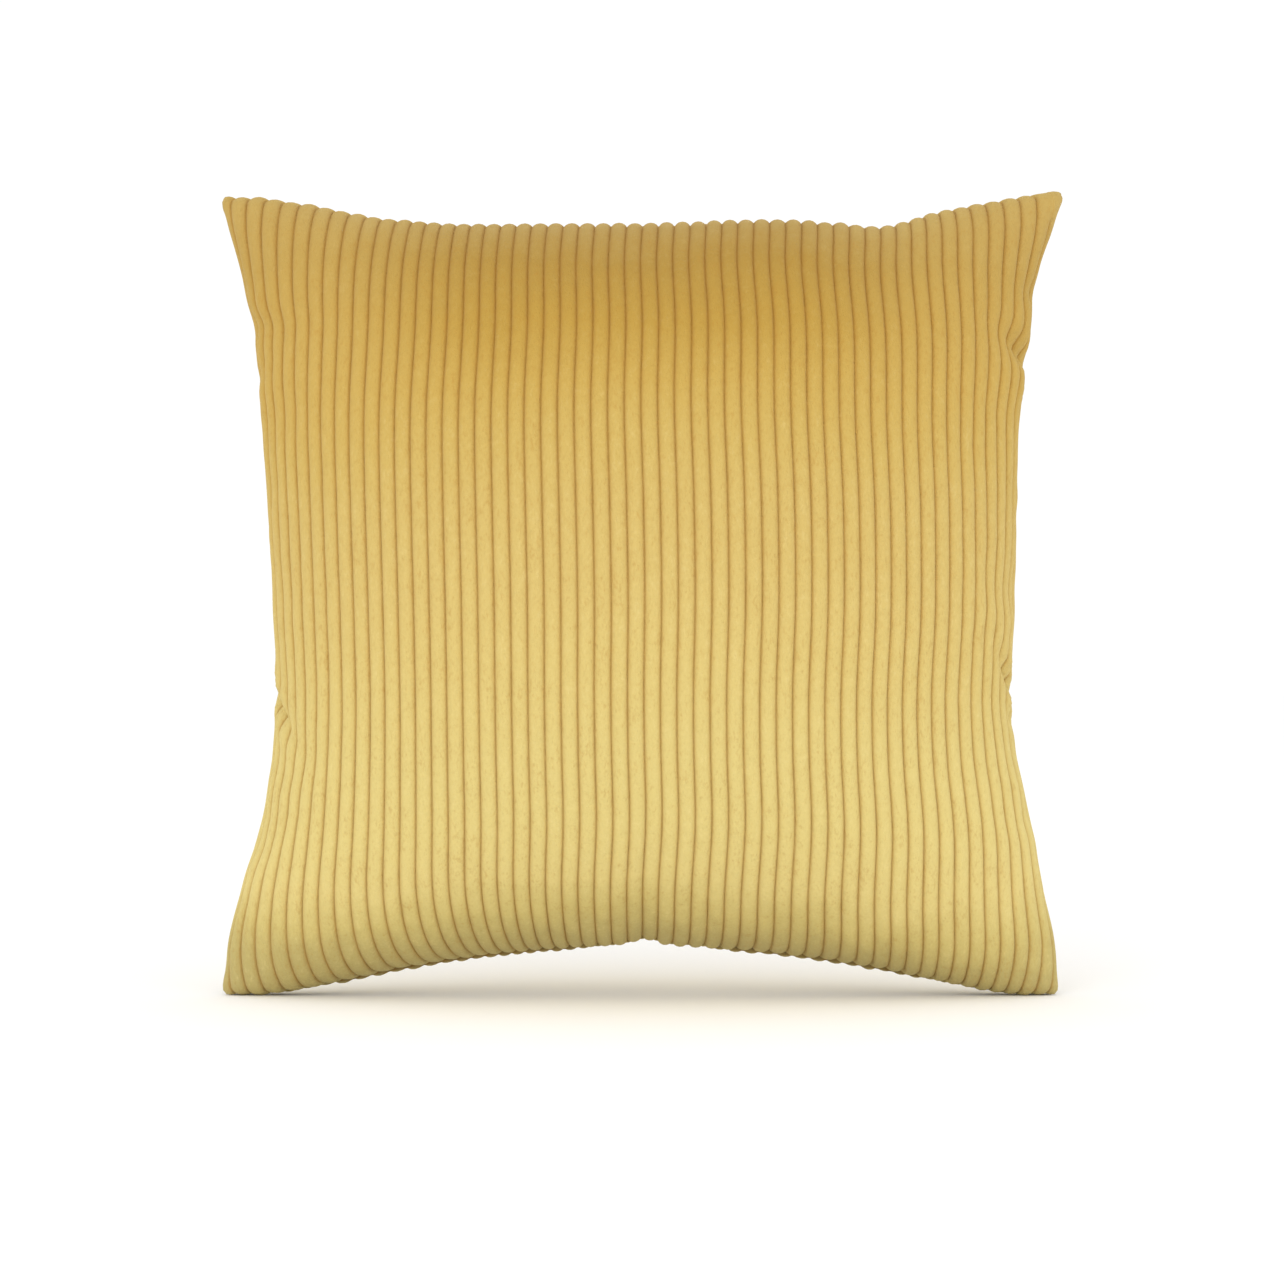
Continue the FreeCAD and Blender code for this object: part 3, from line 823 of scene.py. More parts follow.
def arc_spread(points: np.ndarray, places: np.ndarray, shares: np.ndarray) -> np.ndarray:
    """New places along a line of points, so that cloth of even length covers it.

    Args:
        points: the line, as it runs through places.
        places: what is spread.
        shares: wanted shares of the line's length at each place, from 0 to 1.

    Returns:
        The places at those shares.
    """
    steps = np.linalg.norm(np.diff(points, axis=0), axis=1)
    length = np.concatenate([[0], np.cumsum(steps)])
    return np.interp(shares * length[-1], length, places)


@dataclass
class StandingOutline:
    """Where the seam lies once the pillow stands on its lower corners, as pull-in along each edge."""

    low: Vector
    high: Vector
    bottom_rise: float = 27 * MM
    foot_press: float = 8 * MM
    inset: float = 1.9 * MM
    bottom_inset: float = 1.2 * MM
    foot_lift: float = 1.2 * MM
    left: tuple = ((0, 1), (0.06, 3.5), (0.12, 9.5), (0.21, 19.5), (0.30, 26), (0.36, 28), (0.48, 27),
                   (0.60, 24.5), (0.72, 21), (0.82, 17.5), (0.91, 10), (0.96, 4.5), (1, 0))
    right: tuple = ((0, 2.5), (0.06, 4), (0.12, 9.5), (0.21, 16), (0.30, 24), (0.36, 26.5), (0.48, 24.5),
                    (0.60, 23.5), (0.72, 22.5), (0.82, 17.5), (0.91, 12), (0.96, 5), (1, 0))
    top: tuple = ((0, 2.5), (0.05, 4), (0.10, 7), (0.17, 13), (0.25, 16.5), (0.40, 17), (0.55, 16.5),
                  (0.66, 15), (0.74, 17), (0.79, 18.5), (0.85, 11.5), (0.92, 5.5), (1, 0))

    @staticmethod
    def curve(knots: tuple, at: np.ndarray) -> np.ndarray:
        """Smooth curve through a few (share, millimetres) knots, in metres.

        Args:
            knots: the knots.
            at: shares to read it at.

        Returns:
            The values there.
        """
        places = np.array([knot[0] for knot in knots], float)
        values = np.array([knot[1] for knot in knots], float) * MM
        slopes = np.gradient(values, places)
        cell = np.clip(np.searchsorted(places, at) - 1, 0, len(places) - 2)
        width = places[cell + 1] - places[cell]
        t = (at - places[cell]) / width
        rise = values[cell] * (1 - t) ** 2 * (1 + 2 * t) + values[cell + 1] * t**2 * (3 - 2 * t)
        return rise + slopes[cell] * width * t * (1 - t) ** 2 - slopes[cell + 1] * width * t**2 * (1 - t)

    def seam_radius(self) -> float:
        """Radius of the bottom seam, an arc that the zip follows."""
        sagitta = self.bottom_rise + self.foot_press
        return (self.high.x - self.low.x) ** 2 / (8 * sagitta) + sagitta / 2

    def bottom(self, x: np.ndarray) -> np.ndarray:
        """Height of the bottom seam: an arc with a small dimple, eased on to the floor at the corners.

        Args:
            x: places across, in metres.

        Returns:
            The heights.
        """
        radius = self.seam_radius()
        arc = np.sqrt(radius**2 - x**2) + self.bottom_rise - radius
        dimple = 3.2 * MM * np.exp(-(((x - 3 * MM) / (9 * MM)) ** 2))
        ease = 2.5 * MM
        return np.logaddexp((arc + dimple) / ease, self.foot_lift / ease) * ease

    def place(self, a: np.ndarray, b: np.ndarray) -> tuple[np.ndarray, np.ndarray]:
        """Seam-plane position of shares a across and b up, both from 0 to 1.

        Args:
            a: shares across.
            b: shares up.

        Returns:
            X and Z of each point.
        """
        left = self.low.x + self.inset + self.curve(self.left, b)
        right = self.high.x - self.inset - self.curve(self.right, b)
        under = self.bottom(self.low.x + a * (self.high.x - self.low.x)) + self.bottom_inset
        over = self.high.z - self.inset - self.curve(self.top, a)
        return left + a * (right - left), under + b * (over - under)


@dataclass(frozen=True)
class Lean:
    """Wales that slant as they near the top or the bottom seam."""

    top: bool
    centre: float
    width: float
    reach: float
    shift: float

    def share(self, a: np.ndarray, rows: np.ndarray) -> np.ndarray:
        """Sideways move, as a share of the width.

        Args:
            a: shares across the outline.
            rows: places up the flat cloth.

        Returns:
            The move at each point.
        """
        from_end = (1 - rows if self.top else rows)[None, :]
        beside = np.exp(-(((a - self.centre) / self.width) ** 2))
        return self.shift * beside * np.exp(-((from_end / self.reach) ** 1.4))


@dataclass
class StuffedForm:
    """The calm crowned form of one side of a stuffed square."""

    outline: StandingOutline
    half_depth: float
    leans: tuple = (Lean(False, 0.24, 0.15, 0.10, 0.030), Lean(False, 0.80, 0.13, 0.09, 0.014),
                    Lean(True, 0.17, 0.12, 0.12, 0.010), Lean(True, 0.90, 0.07, 0.08, -0.005))
    edge: float = 3.6 * MM
    edge_round: float = 2.2 * MM
    fullness: float = 2.3
    steepness: float = 0.54

    def crown(self, share: np.ndarray) -> np.ndarray:
        """Share of the full depth at a share of the way from seam to seam."""
        return (1 - np.clip(np.abs(2 * share - 1), 0, 1) ** self.fullness) ** self.steepness

    def rounded(self, distance: np.ndarray) -> np.ndarray:
        """Quarter-round rise of the sewn edge, from 0 at the seam to 1."""
        return np.sqrt(np.clip(1 - (1 - np.clip(distance / self.edge_round, 0, 1)) ** 2, 0, 1))

    def points(self, a: np.ndarray, b: np.ndarray, side: Side) -> np.ndarray:
        """Points of the form at shares a across and b up.

        Args:
            a: shares across.
            b: shares up.
            side: front or back.

        Returns:
            The grid of points, first index across and second index up.
        """
        x, z = self.outline.place(a, b)
        width = self.outline.high.x - self.outline.low.x
        beside = self.rounded(np.minimum(a, 1 - a) * width)
        at_end = self.rounded(np.minimum(b, 1 - b) * width)
        depth = self.edge * beside * at_end + (self.half_depth - self.edge) * self.crown(a) * self.crown(b)
        return np.stack([x, side.value * depth, z], axis=2)

    def lying_on(self, x: np.ndarray, z: np.ndarray, side: Side) -> np.ndarray:
        """Points of the form straight behind or in front of places in the seam plane.

        Args:
            x: places across.
            z: heights.
            side: front or back.

        Returns:
            The grid of points, first index across and second index up.
        """
        a, b = np.full_like(x, 0.5), np.full_like(z, 0.5)
        for _ in range(8):
            at_x, at_z = self.outline.place(a, b)
            a = a + (x - at_x) / (self.outline.high.x - self.outline.low.x)
            b = b + (z - at_z) / (self.outline.high.z - self.outline.low.z)
        return self.points(a, b, side)

    def cloth(self, columns: np.ndarray, rows: np.ndarray, side: Side, turns: int = 3) -> np.ndarray:
        """Lays flat cloth over the form without stretching it unevenly.

        Args:
            columns: places across the flat cloth, from 0 to 1.
            rows: places up it.
            side: front or back.
            turns: how often the two directions are evened out.

        Returns:
            The grid of points.
        """
        a, b = (grid.copy() for grid in np.meshgrid(columns, rows, indexing="ij"))
        for _ in range(turns):
            points = self.points(a, b, side)
            for j in range(len(rows)):
                a[:, j] = arc_spread(points[:, j], a[:, j], columns)
            points = self.points(a, b, side)
            for i in range(len(columns)):
                b[i] = arc_spread(points[i], b[i], rows)
        lean = sum(lean.share(a, rows) for lean in self.leans)
        a = a + lean * smooth_step(np.minimum(a, 1 - a), 0, 0.08)
        return self.points(a, b, side)


@dataclass(frozen=True)
class Pucker:
    """A crease that runs in from a side seam, where spare cloth gathers and the wales bend round it."""

    edge: int
    height: float
    reach: float
    depth: float
    spread: float
    slant: float = 0.0
    nudge: float = 0.0

    def moves(self, grid: np.ndarray, across: np.ndarray, normal: np.ndarray) -> np.ndarray:
        """How far each point of one side of the cover moves.

        Args:
            grid: the points.
            across: distance of each column from the left edge of the flat cloth.
            normal: outward normals.

        Returns:
            The moves, in metres: into the crease, out on its flanks, and sideways round its tip.
        """
        inward = (across if self.edge < 0 else across[-1] - across)[:, None]
        offset = (grid[:, :, 2] - self.height - self.slant * inward) / self.spread
        ridge = np.exp(-(offset**2)) - 0.4 * (np.exp(-((offset - 1.9) ** 2)) + np.exp(-((offset + 1.9) ** 2)))
        fade = np.exp(-((inward / self.reach) ** 4)) * smooth_step(inward, 0, 10 * MM)
        sideways = np.exp(-((offset / 1.6) ** 2)) * np.exp(-(((inward / self.reach - 1) / 0.7) ** 2))
        moved = normal * (-self.depth * ridge * fade)[:, :, None]
        moved[:, :, 0] -= self.edge * self.nudge * sideways
        return moved


@dataclass(frozen=True)
class Ear:
    """An upper corner where plain nap shows instead of wales, as on a corner folded over."""

    edge: int = 1
    reach: float = 20 * MM
    slope: float = 0.55

    def share(self, across: np.ndarray, along: np.ndarray) -> np.ndarray:
        """How much of the wales is hidden at each point, from 0 to 1.

        Args:
            across: distance of each column from the left edge of the flat cloth.
            along: distance of each row from its lower edge.

        Returns:
            The shares.
        """
        inward = (across if self.edge < 0 else across[-1] - across)[:, None]
        down = (along[-1] - along)[None, :]
        return 1 - smooth_step(inward + down * self.slope, self.reach * 0.8, self.reach)


@dataclass
class Cover:
    """The corduroy cover: two ribbed panels that meet in a sharp seam, parted over the zip."""

    form: StuffedForm
    wrinkles: dict
    flat_side: float = FLAT_SIDE
    wales: int = WALES
    relief: float = 2.3 * MM
    thickness: float = 2.2 * MM
    lip: float = 2.6 * MM
    slit_half: float = SLIT_HALF
    end_round: float = 5 * MM
    kept_at_side: float = 0.24
    kept_inside: float = 0.04
    wrinkle_rise: tuple = (0, 12 * MM)
    wrinkle_fade: tuple = (25 * MM, 95 * MM)
    wrinkle_ends: tuple = (4 * MM, 60 * MM)
    slit_ease: float = 12 * MM
    lip_reach: float = 9 * MM
    seam_gap: float = 0.12 * MM
    inner_gap: float = 0.1 * MM
    edge_fold: float = 0.008
    foot_soft: float = 1.5 * MM
    foot_reach: float = 8 * MM
    foot_splay: float = 0.5
    foot_flat: float = 0.25 * MM
    floor_gap: float = 0.02 * MM
    back_drop: float = 3.6 * MM
    back_top_drop: float = 1.6 * MM
    drop_fade: float = 9 * MM
    drop_spans: tuple = ((-178, -150, -40, -12), (30, 50, 140, 165))
    across_steps: tuple = (0, 0.055, 0.14, 0.29, 0.5, 0.71, 0.86, 0.945)
    end_steps: tuple = (0, 0.7, 1.5, 2.5, 3.7, 5.1, 6.8, 9)
    ear: Ear = Ear()
    puckers: tuple = (
        Pucker(-1, 160 * MM, 24 * MM, 4.0 * MM, 5 * MM, -0.8, 1.6 * MM),
        Pucker(-1, 343 * MM, 34 * MM, 1.5 * MM, 6 * MM, 0.0, 1.0 * MM),
        Pucker(-1, 316 * MM, 12 * MM, 1.6 * MM, 4 * MM, 0.2, 0.5 * MM),
        Pucker(-1, 76 * MM, 26 * MM, 0.7 * MM, 6 * MM, -0.1, 0.4 * MM),
        Pucker(1, 151 * MM, 20 * MM, 4.0 * MM, 4.5 * MM, 0.88, 1.8 * MM),
        Pucker(1, 139 * MM, 14 * MM, 1.6 * MM, 4 * MM, 0.3, 0.4 * MM),
        Pucker(1, 322 * MM, 24 * MM, 3.4 * MM, 6 * MM, 0.5, 3.4 * MM),
        Pucker(1, 311 * MM, 12 * MM, 1.6 * MM, 3 * MM, 0.4, 0.3 * MM),
        Pucker(1, 360 * MM, 18 * MM, 1.4 * MM, 6 * MM, 0.0, 0.8 * MM),
    )

    @staticmethod
    def offset(side: Side) -> float:
        """Share of a wale by which a panel's first wale is cut off at its seam."""
        return 0.0 if side is Side.FRONT else 0.5

    def columns(self, side: Side) -> np.ndarray:
        """Places across the flat cloth, crowded at the grooves.

        Args:
            side: front or back.

        Returns:
            The places, from 0 to 1.
        """
        steps = [wale + share for wale in range(self.wales + 1) for share in self.across_steps]
        first = self.across_steps.index(self.offset(side))
        count = self.wales * len(self.across_steps) + 1
        return (np.array(steps[first:first + count]) - self.offset(side)) / self.wales

    def rows(self) -> np.ndarray:
        """Places up the flat cloth, crowded at the rounded ends of the wales.

        Returns:
            The places, from 0 to 1.
        """
        ends = np.array(self.end_steps) * MM / self.flat_side
        middle = np.linspace(ends[-1], 1 - ends[-1], 152)[1:-1]
        return np.concatenate([ends, middle, 1 - ends[::-1]])

    def smooth(self, side: Side) -> np.ndarray:
        """The surface under the pile: the calm form with wrinkles and puckers.

        Args:
            side: front or back.

        Returns:
            The grid of points, first index across and second index up.
        """
        columns, rows = self.columns(side), self.rows()
        grid = self.form.cloth(columns, rows, side)
        rough = self.wrinkles[side]
        across, up = resampler(rough.shape[0], columns), resampler(rough.shape[1], rows)
        fine = np.einsum("ai,ijk,bj->abk", across, rough, up)
        from_side = np.minimum(columns, 1 - columns)[:, None] * self.flat_side
        from_end = np.minimum(rows, 1 - rows)[None, :] * self.flat_side
        beside = smooth_step(from_side, *self.wrinkle_rise) * (1 - smooth_step(from_side, *self.wrinkle_fade))
        keep = self.kept_at_side * beside + self.kept_inside
        keep = keep * smooth_step(from_end, *self.wrinkle_ends)
        grid = grid + fine * keep[:, :, None]
        normal = surface_normals(grid, side)
        grid = grid + sum(pucker.moves(grid, columns * self.flat_side, normal) for pucker in self.puckers)
        return self.part_lips(grid, side, rows)

    def part_lips(self, grid: np.ndarray, side: Side, rows: np.ndarray) -> np.ndarray:
        """Keeps a panel on its own side of the seam, and parts its edge where the zip runs.

        Args:
            grid: the panel's points.
            side: front or back.
            rows: places up the flat cloth.

        Returns:
            The moved points.
        """
        grid = grid.copy()
        near_zip = smooth_step(self.slit_half - np.abs(grid[:, :, 0]), 0, self.slit_ease)
        along = rows[None, :] * self.flat_side
        lip = self.lip * near_zip * (1 - smooth_step(along, 0, self.lip_reach))
        depth = np.maximum(side.value * grid[:, :, 1], self.seam_gap)
        grid[:, :, 1] = side.value * np.hypot(depth, lip)
        if side is Side.BACK:
            x = grid[:, :, 0] / MM
            where = sum(smooth_step(x, *span[:2]) - smooth_step(x, *span[2:]) for span in self.drop_spans)
            grid[:, :, 2] -= self.back_drop * where * np.exp(-along / self.drop_fade)
            grid[:, :, 2] -= self.back_top_drop * np.exp(-(self.flat_side - along) / self.drop_fade)
        return grid

    def counted(self, side: Side) -> np.ndarray:
        """Wales counted from the left edge; the ear holds its points on the crest of their wale.

        Args:
            side: front or back.

        Returns:
            The count at each point.
        """
        columns, rows = self.columns(side), self.rows()
        count = (columns * self.wales + self.offset(side))[:, None] + 0 * rows[None, :]
        if side is Side.BACK:
            return count
        hidden = self.ear.share(columns * self.flat_side, rows * self.flat_side)
        crest = np.minimum(np.floor(count), self.wales - 1) + 0.5
        return count + (crest - count) * hidden

    def pile(self, side: Side) -> np.ndarray:
        """Height of the pile over the backing: rounded wales with rounded ends and slight unevenness.

        Args:
            side: front or back.

        Returns:
            The height at each point, in metres.
        """
        random = np.random.default_rng(7 + side.value)
        columns, rows = self.columns(side), self.rows()
        profile = (1 - np.abs(2 * (self.counted(side) % 1) - 1) ** 2.1) ** 0.62
        from_end = np.minimum(rows, 1 - rows) * self.flat_side
        from_side = np.minimum(columns, 1 - columns) * self.flat_side
        round_end = np.sqrt(np.clip(1 - (1 - np.clip(from_end / self.end_round, 0, 1)) ** 2, 0, 1))
        round_side = np.sqrt(np.clip(1 - (1 - np.clip(from_side / (2 * MM), 0, 1)) ** 2, 0, 1))
        lumps = 48
        uneven = random.normal(0, 1, (self.wales + 1, lumps))
        wale = np.minimum((columns * self.wales + self.offset(side)).astype(int), self.wales)
        ripple = uneven[wale] @ resampler(lumps, rows).T * 0.05
        near_end = 1 - smooth_step(from_end, 0, 12 * MM)
        longer = random.normal(0, 1, (self.wales + 1, 1))[wale] * 0.09 * near_end
        fuller = 1 + 0.3 * (1 - smooth_step(from_end, 3 * MM, 16 * MM))
        ends = round_side[:, None] * (round_end * fuller)[None, :]
        return self.relief * profile * ends * (0.96 + ripple + longer)

    def outer(self, side: Side, smooth: np.ndarray) -> np.ndarray:
        """The face of one panel, with its wales."""
        face = smooth + surface_normals(smooth, side) * self.pile(side)[:, :, None]
        return self.press_feet(face, side)

    def press_feet(self, grid: np.ndarray, side: Side) -> np.ndarray:
        """Presses the two lower corners flat on the floor and splays them a little.

        Args:
            grid: the panel's points.
            side: front or back.

        Returns:
            The moved points.
        """
        grid = grid.copy()
        height = grid[:, :, 2]
        soft = self.foot_soft
        pressed = np.where(height < soft, soft * np.exp(np.minimum(height - soft, 0) / soft), height)
        grid[:, :, 1] += side.value * np.clip(pressed - height, 0, self.foot_reach) * self.foot_splay
        grid[:, :, 2] = np.maximum(pressed - self.foot_flat, self.floor_gap)
        return grid

    def panel(self, side: Side, name: str, material: bpy.types.Material) -> bpy.types.Object:
        """One closed panel: the ribbed face, a plain inside, and the folded edge that joins them.

        Args:
            side: front or back.
            name: the piece's name.
            material: the finish.

        Returns:
            The panel.
        """
        smooth = self.smooth(side)
        outer = self.outer(side, smooth)
        columns, rows = outer.shape[:2]
        coarse_columns = list(range(0, columns, len(self.across_steps)))
        coarse_rows = sorted({0, rows - 1, *range(4, rows - 4, 5)})
        inner = smooth - surface_normals(smooth, side) * self.thickness
        inner[:, :, 1] = side.value * np.maximum(side.value * inner[:, :, 1], self.inner_gap)
        middle = self.form.outline
        centre = np.array([0, 0, (middle.low.z + middle.high.z) / 2])
        for index in (0, -1):
            inner[index] = outer[index] + (centre - outer[index]) * self.edge_fold
            inner[:, index] = outer[:, index] + (centre - outer[:, index]) * self.edge_fold
        inner = inner[np.ix_(coarse_columns, coarse_rows)]
        points = np.vstack([outer.reshape(-1, 3), inner.reshape(-1, 3)])
        start = columns * rows
        flip = side is Side.BACK
        faces = grid_faces(columns, rows, 0, flip)
        faces += grid_faces(len(coarse_columns), len(coarse_rows), start, not flip)
        faces += self.rim(columns, rows, coarse_columns, coarse_rows, start, flip)
        made = add_object(name, points, faces, material)
        across = self.counted(side) * self.flat_side / self.wales
        along = np.tile(self.rows() * self.flat_side, (columns, 1))
        inner_at = np.ix_(coarse_columns, coarse_rows)
        both = [np.concatenate([place.ravel(), place[inner_at].ravel()]) for place in (across, along)]
        lay_cloth(made, *both)
        return made

    @staticmethod
    def rim(columns: int, rows: int, coarse_columns: list, coarse_rows: list, start: int,
            flip: bool) -> list:
        """Faces that join the fine outer edge to the coarse inner edge, all round.

        Args:
            columns: columns of the outer face.
            rows: its rows.
            coarse_columns: columns that the inside keeps.
            coarse_rows: rows that it keeps.
            start: first vertex number of the inside.
            flip: whether the faces are turned the other way.

        Returns:
            The vertex numbers of each face.
        """
        faces = []
        deep = len(coarse_rows)
        last = len(coarse_columns) - 1

        def fan(outer: list, inner: list, turn: bool) -> None:
            """One many-sided face between a stretch of the outer edge and one inner edge."""
            face = outer + inner[::-1]
            faces.append(face[::-1] if turn != flip else face)

        for k in range(last):
            stretch = range(coarse_columns[k], coarse_columns[k + 1] + 1)
            for row, coarse_row, turn in ((0, 0, True), (rows - 1, deep - 1, False)):
                inner = [start + k * deep + coarse_row, start + (k + 1) * deep + coarse_row]
                fan([i * rows + row for i in stretch], inner, turn)
        for k in range(deep - 1):
            stretch = range(coarse_rows[k], coarse_rows[k + 1] + 1)
            for column, coarse_column, turn in ((0, 0, False), (columns - 1, last, True)):
                inner = [start + coarse_column * deep + k, start + coarse_column * deep + k + 1]
                fan([column * rows + j for j in stretch], inner, turn)
        return faces

    def make(self, material: bpy.types.Material) -> list:
        """Builds both panels, attaches them to the cover's body and hides the design's panels.

        Args:
            material: the finish.

        Returns:
            The two panels.
        """
        pieces = []
        for side in Side:
            word = side.name.lower()
            made = self.panel(side, "corduroy_" + word, material)
            stand_for(made, word + "_panel")
            pieces.append(made)
        return pieces


# ---------------------------------------------------------------- threads and ribbons

@dataclass
class Spool:
    """Gathers short lengths of thread into one mesh."""

    radius: float = 0.2 * MM
    sides: int = 6
    points: list = field(default_factory=list)
    faces: list = field(default_factory=list)

    def lay(self, path: np.ndarray, ends: float = 0.45) -> None:
        """Adds one closed round thread.

        Args:
            path: its middle line.
            ends: share of the radius left at its two ends.
        """
        along = np.gradient(path, axis=0)
        along /= np.maximum(np.linalg.norm(along, axis=1, keepdims=True), 1e-12)
        guide = np.where(np.abs(along[:, 1:2]) > 0.9, (1.0, 0.0, 0.0), (0.0, 1.0, 0.0))
        first = np.cross(along, guide)
        first /= np.linalg.norm(first, axis=1, keepdims=True)
        second = np.cross(along, first)
        radius = np.full(len(path), self.radius)
        radius[[0, -1]] *= ends
        start = sum(len(block) for block in self.points)
        angles = np.arange(self.sides) * 2 * math.pi / self.sides
        cosines, sines = np.cos(angles)[None, :, None], np.sin(angles)[None, :, None]
        ring = first[:, None] * cosines + second[:, None] * sines
        self.points.append((path[:, None] + ring * radius[:, None, None]).reshape(-1, 3))
        for i in range(len(path) - 1):
            for k in range(self.sides):
                here, there = start + i * self.sides, start + (i + 1) * self.sides
                turn = (k + 1) % self.sides
                self.faces.append([here + k, here + turn, there + turn, there + k])
        self.faces.append([start + k for k in reversed(range(self.sides))])
        self.faces.append([start + (len(path) - 1) * self.sides + k for k in range(self.sides)])

    def stitch(self, path: np.ndarray, length: float, gap: float,
               sag: np.ndarray | float = 0.0) -> None:
        """Adds a row of stitches along a path.

        Args:
            path: the row, as a dense line of points.
            length: length of one stitch.
            gap: space between stitches, where the thread dives.
            sag: how the middle of each stitch lifts off the path, as a vector.
        """
        steps = np.linalg.norm(np.diff(path, axis=0), axis=1)
        run = np.concatenate([[0], np.cumsum(steps)])
        starts = np.arange(0, run[-1] - length, length + gap)
        for begin in starts:
            at = begin + np.array([0, 0.12, 0.5, 0.88, 1]) * length
            points = np.stack([np.interp(at, run, path[:, axis]) for axis in range(3)], axis=1)
            points = points + np.array([0, 0.6, 1, 0.6, 0])[:, None] * sag
            self.lay(points)

    def make(self, name: str, node: str, material: bpy.types.Material, slot: str) -> bpy.types.Object:
        """Makes the piece, attaches it to the cover's body and hides the design node that it stands for."""
        made = add_object(name, np.vstack(self.points), self.faces, material)
        return stand_for(made, node)


def ribbon(path: np.ndarray, across: np.ndarray, face: np.ndarray,
           thickness: float) -> tuple[np.ndarray, list]:
    """Closed thin strip of cloth.

    Args:
        path: middle line of the strip, n points.
        across: offsets across the strip at each point of the path, n by m by 3.
        face: outward directions, n by m by 3.
        thickness: its thickness.

    Returns:
        Vertices and faces.
    """
    sheet = path[:, None] + across
    return closed_sheet(sheet + face * thickness / 2, sheet - face * thickness / 2)


@dataclass
class Haberdashery:
    """The cover's threads and its care label."""

    outline: StandingOutline
    slit_half: float = SLIT_HALF
    stitch_length: float = 2.8 * MM
    stitch_gap: float = 0.5 * MM
    seam_inset: float = 2.2 * MM
    seam_side: float = 0.75 * MM
    allowance: float = 10 * MM
    overlock_width: float = 3.5 * MM

    def ring(self, inset: float, y: float, count: int = 900) -> np.ndarray:
        """Line that runs round the cover at an inset from its seam, left open where the zip is.

        Args:
            inset: distance in from the seam.
            y: distance from the seam plane.
            count: points on each of the four edges.

        Returns:
            The line's points.
        """
        line = replace(self.outline, inset=self.outline.inset + inset,
                       bottom_inset=self.outline.bottom_inset + inset)
        t = np.linspace(0, 1, count)
        sides = [(0 * t, t), (t, 0 * t + 1), (0 * t + 1, 1 - t), (1 - t, 0 * t)]
        points = []
        for a, b in sides:
            x, z = line.place(a, b)
            points.append(np.stack([x, np.full(count, y), z], axis=1))
        left, top, right, bottom = points
        outside = np.abs(bottom[:, 0]) > self.slit_half
        right_foot = bottom[outside & (bottom[:, 0] > 0)]
        left_foot = bottom[outside & (bottom[:, 0] < 0)]
        return np.vstack([left_foot, left, top, right, right_foot])

    def seam(self, material: bpy.types.Material) -> bpy.types.Object:
        """The lockstitch that joins the two panels.

        Args:
            material: the finish.

        Returns:
            The piece.
        """
        spool = Spool()
        for way in (-1, 1):
            path = self.ring(self.seam_inset, way * self.seam_side)
            sag = np.array([0, 0.15 * MM * way, 0])
            spool.stitch(path, self.stitch_length, self.stitch_gap, sag)
        return spool.make("seam_stitches", "cover_seam_thread", material, "sewing_thread")

    def overlock(self, material: bpy.types.Material) -> bpy.types.Object:
        """The overlock thread that wraps the raw edge of the allowance.

        Args:
            material: the finish.

        Returns:
            The piece.
        """
        spool = Spool(radius=0.16 * MM, sides=5)
        inner = self.ring(self.allowance + 0.5 * MM, 0.0)
        outer = self.ring(self.allowance - self.overlock_width, 0.0)
        turns = 520
        t = np.linspace(0, 1, turns * 4 + 1)
        places = np.linspace(0, 1, len(inner))
        near = np.stack([np.interp(t, places, inner[:, axis]) for axis in range(3)], axis=1)
        places = np.linspace(0, 1, len(outer))
        far = np.stack([np.interp(t, places, outer[:, axis]) for axis in range(3)], axis=1)
        beat = np.arange(len(t)) % 4
        path = np.where((beat % 2 == 0)[:, None], near, far)
        path[:, 1] = np.choose(beat, [0.9, 1.3, -0.9, -1.3]) * MM
        spool.lay(path)
        return spool.make("overlock_loops", "cover_overlock", material, "sewing_thread")

    def care_label(self, material: bpy.types.Material) -> bpy.types.Object:
        """A blank satin label, folded double and caught in the side seam.

        Args:
            material: the finish.

        Returns:
            The piece.
        """
        low, high = (Vector(corner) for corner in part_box("care_label"))
        leaf, wide, thickness = 9, 13, 0.14 * MM
        from_spine, round_fold, leaf_gap = 0.3 * MM, 0.1 * MM, 0.17 * MM
        bowed, waved, ripples = 0.35 * MM, 0.25 * MM, 260
        at_fold = slice(leaf - 1, leaf + 1)
        reach = np.concatenate([np.linspace(0, 1, leaf), np.linspace(1, 0, leaf)])
        out = low.x + (high.x - low.x - from_spine) * reach
        out[at_fold] += round_fold
        fold = np.concatenate([np.full(leaf, -leaf_gap), np.full(leaf, leaf_gap)])
        bow = bowed * np.sin(reach * math.pi * 0.5) ** 2
        middle = np.full(2 * leaf, (low.z + high.z) / 2)
        path = np.stack([out, (low.y + high.y) / 2 + fold - bow, middle], axis=1)
        height = np.linspace(-0.5, 0.5, wide) * (high.z - low.z)
        wave = waved * np.sin(height * ripples)[None, :] * reach[:, None]
        across = np.stack([0 * wave, wave, height[None, :] + 0 * wave], axis=2)
        face = np.zeros((2 * leaf, wide, 3))
        face[:leaf, :, 1] = -1
        face[leaf:, :, 1] = 1
        face[at_fold, :, 0] = 0.8
        face /= np.linalg.norm(face, axis=2, keepdims=True)
        points, faces = ribbon(path, across, face, thickness)
        made = add_object("care_label_satin", points, faces, material)
        stand_for(made, "care_label")
        return made

    def make(self, thread: bpy.types.Material, satin: bpy.types.Material) -> list:
        """Builds every piece."""
        return [self.seam(thread), self.overlock(thread), self.care_label(satin)]


# ---------------------------------------------------------------- zip

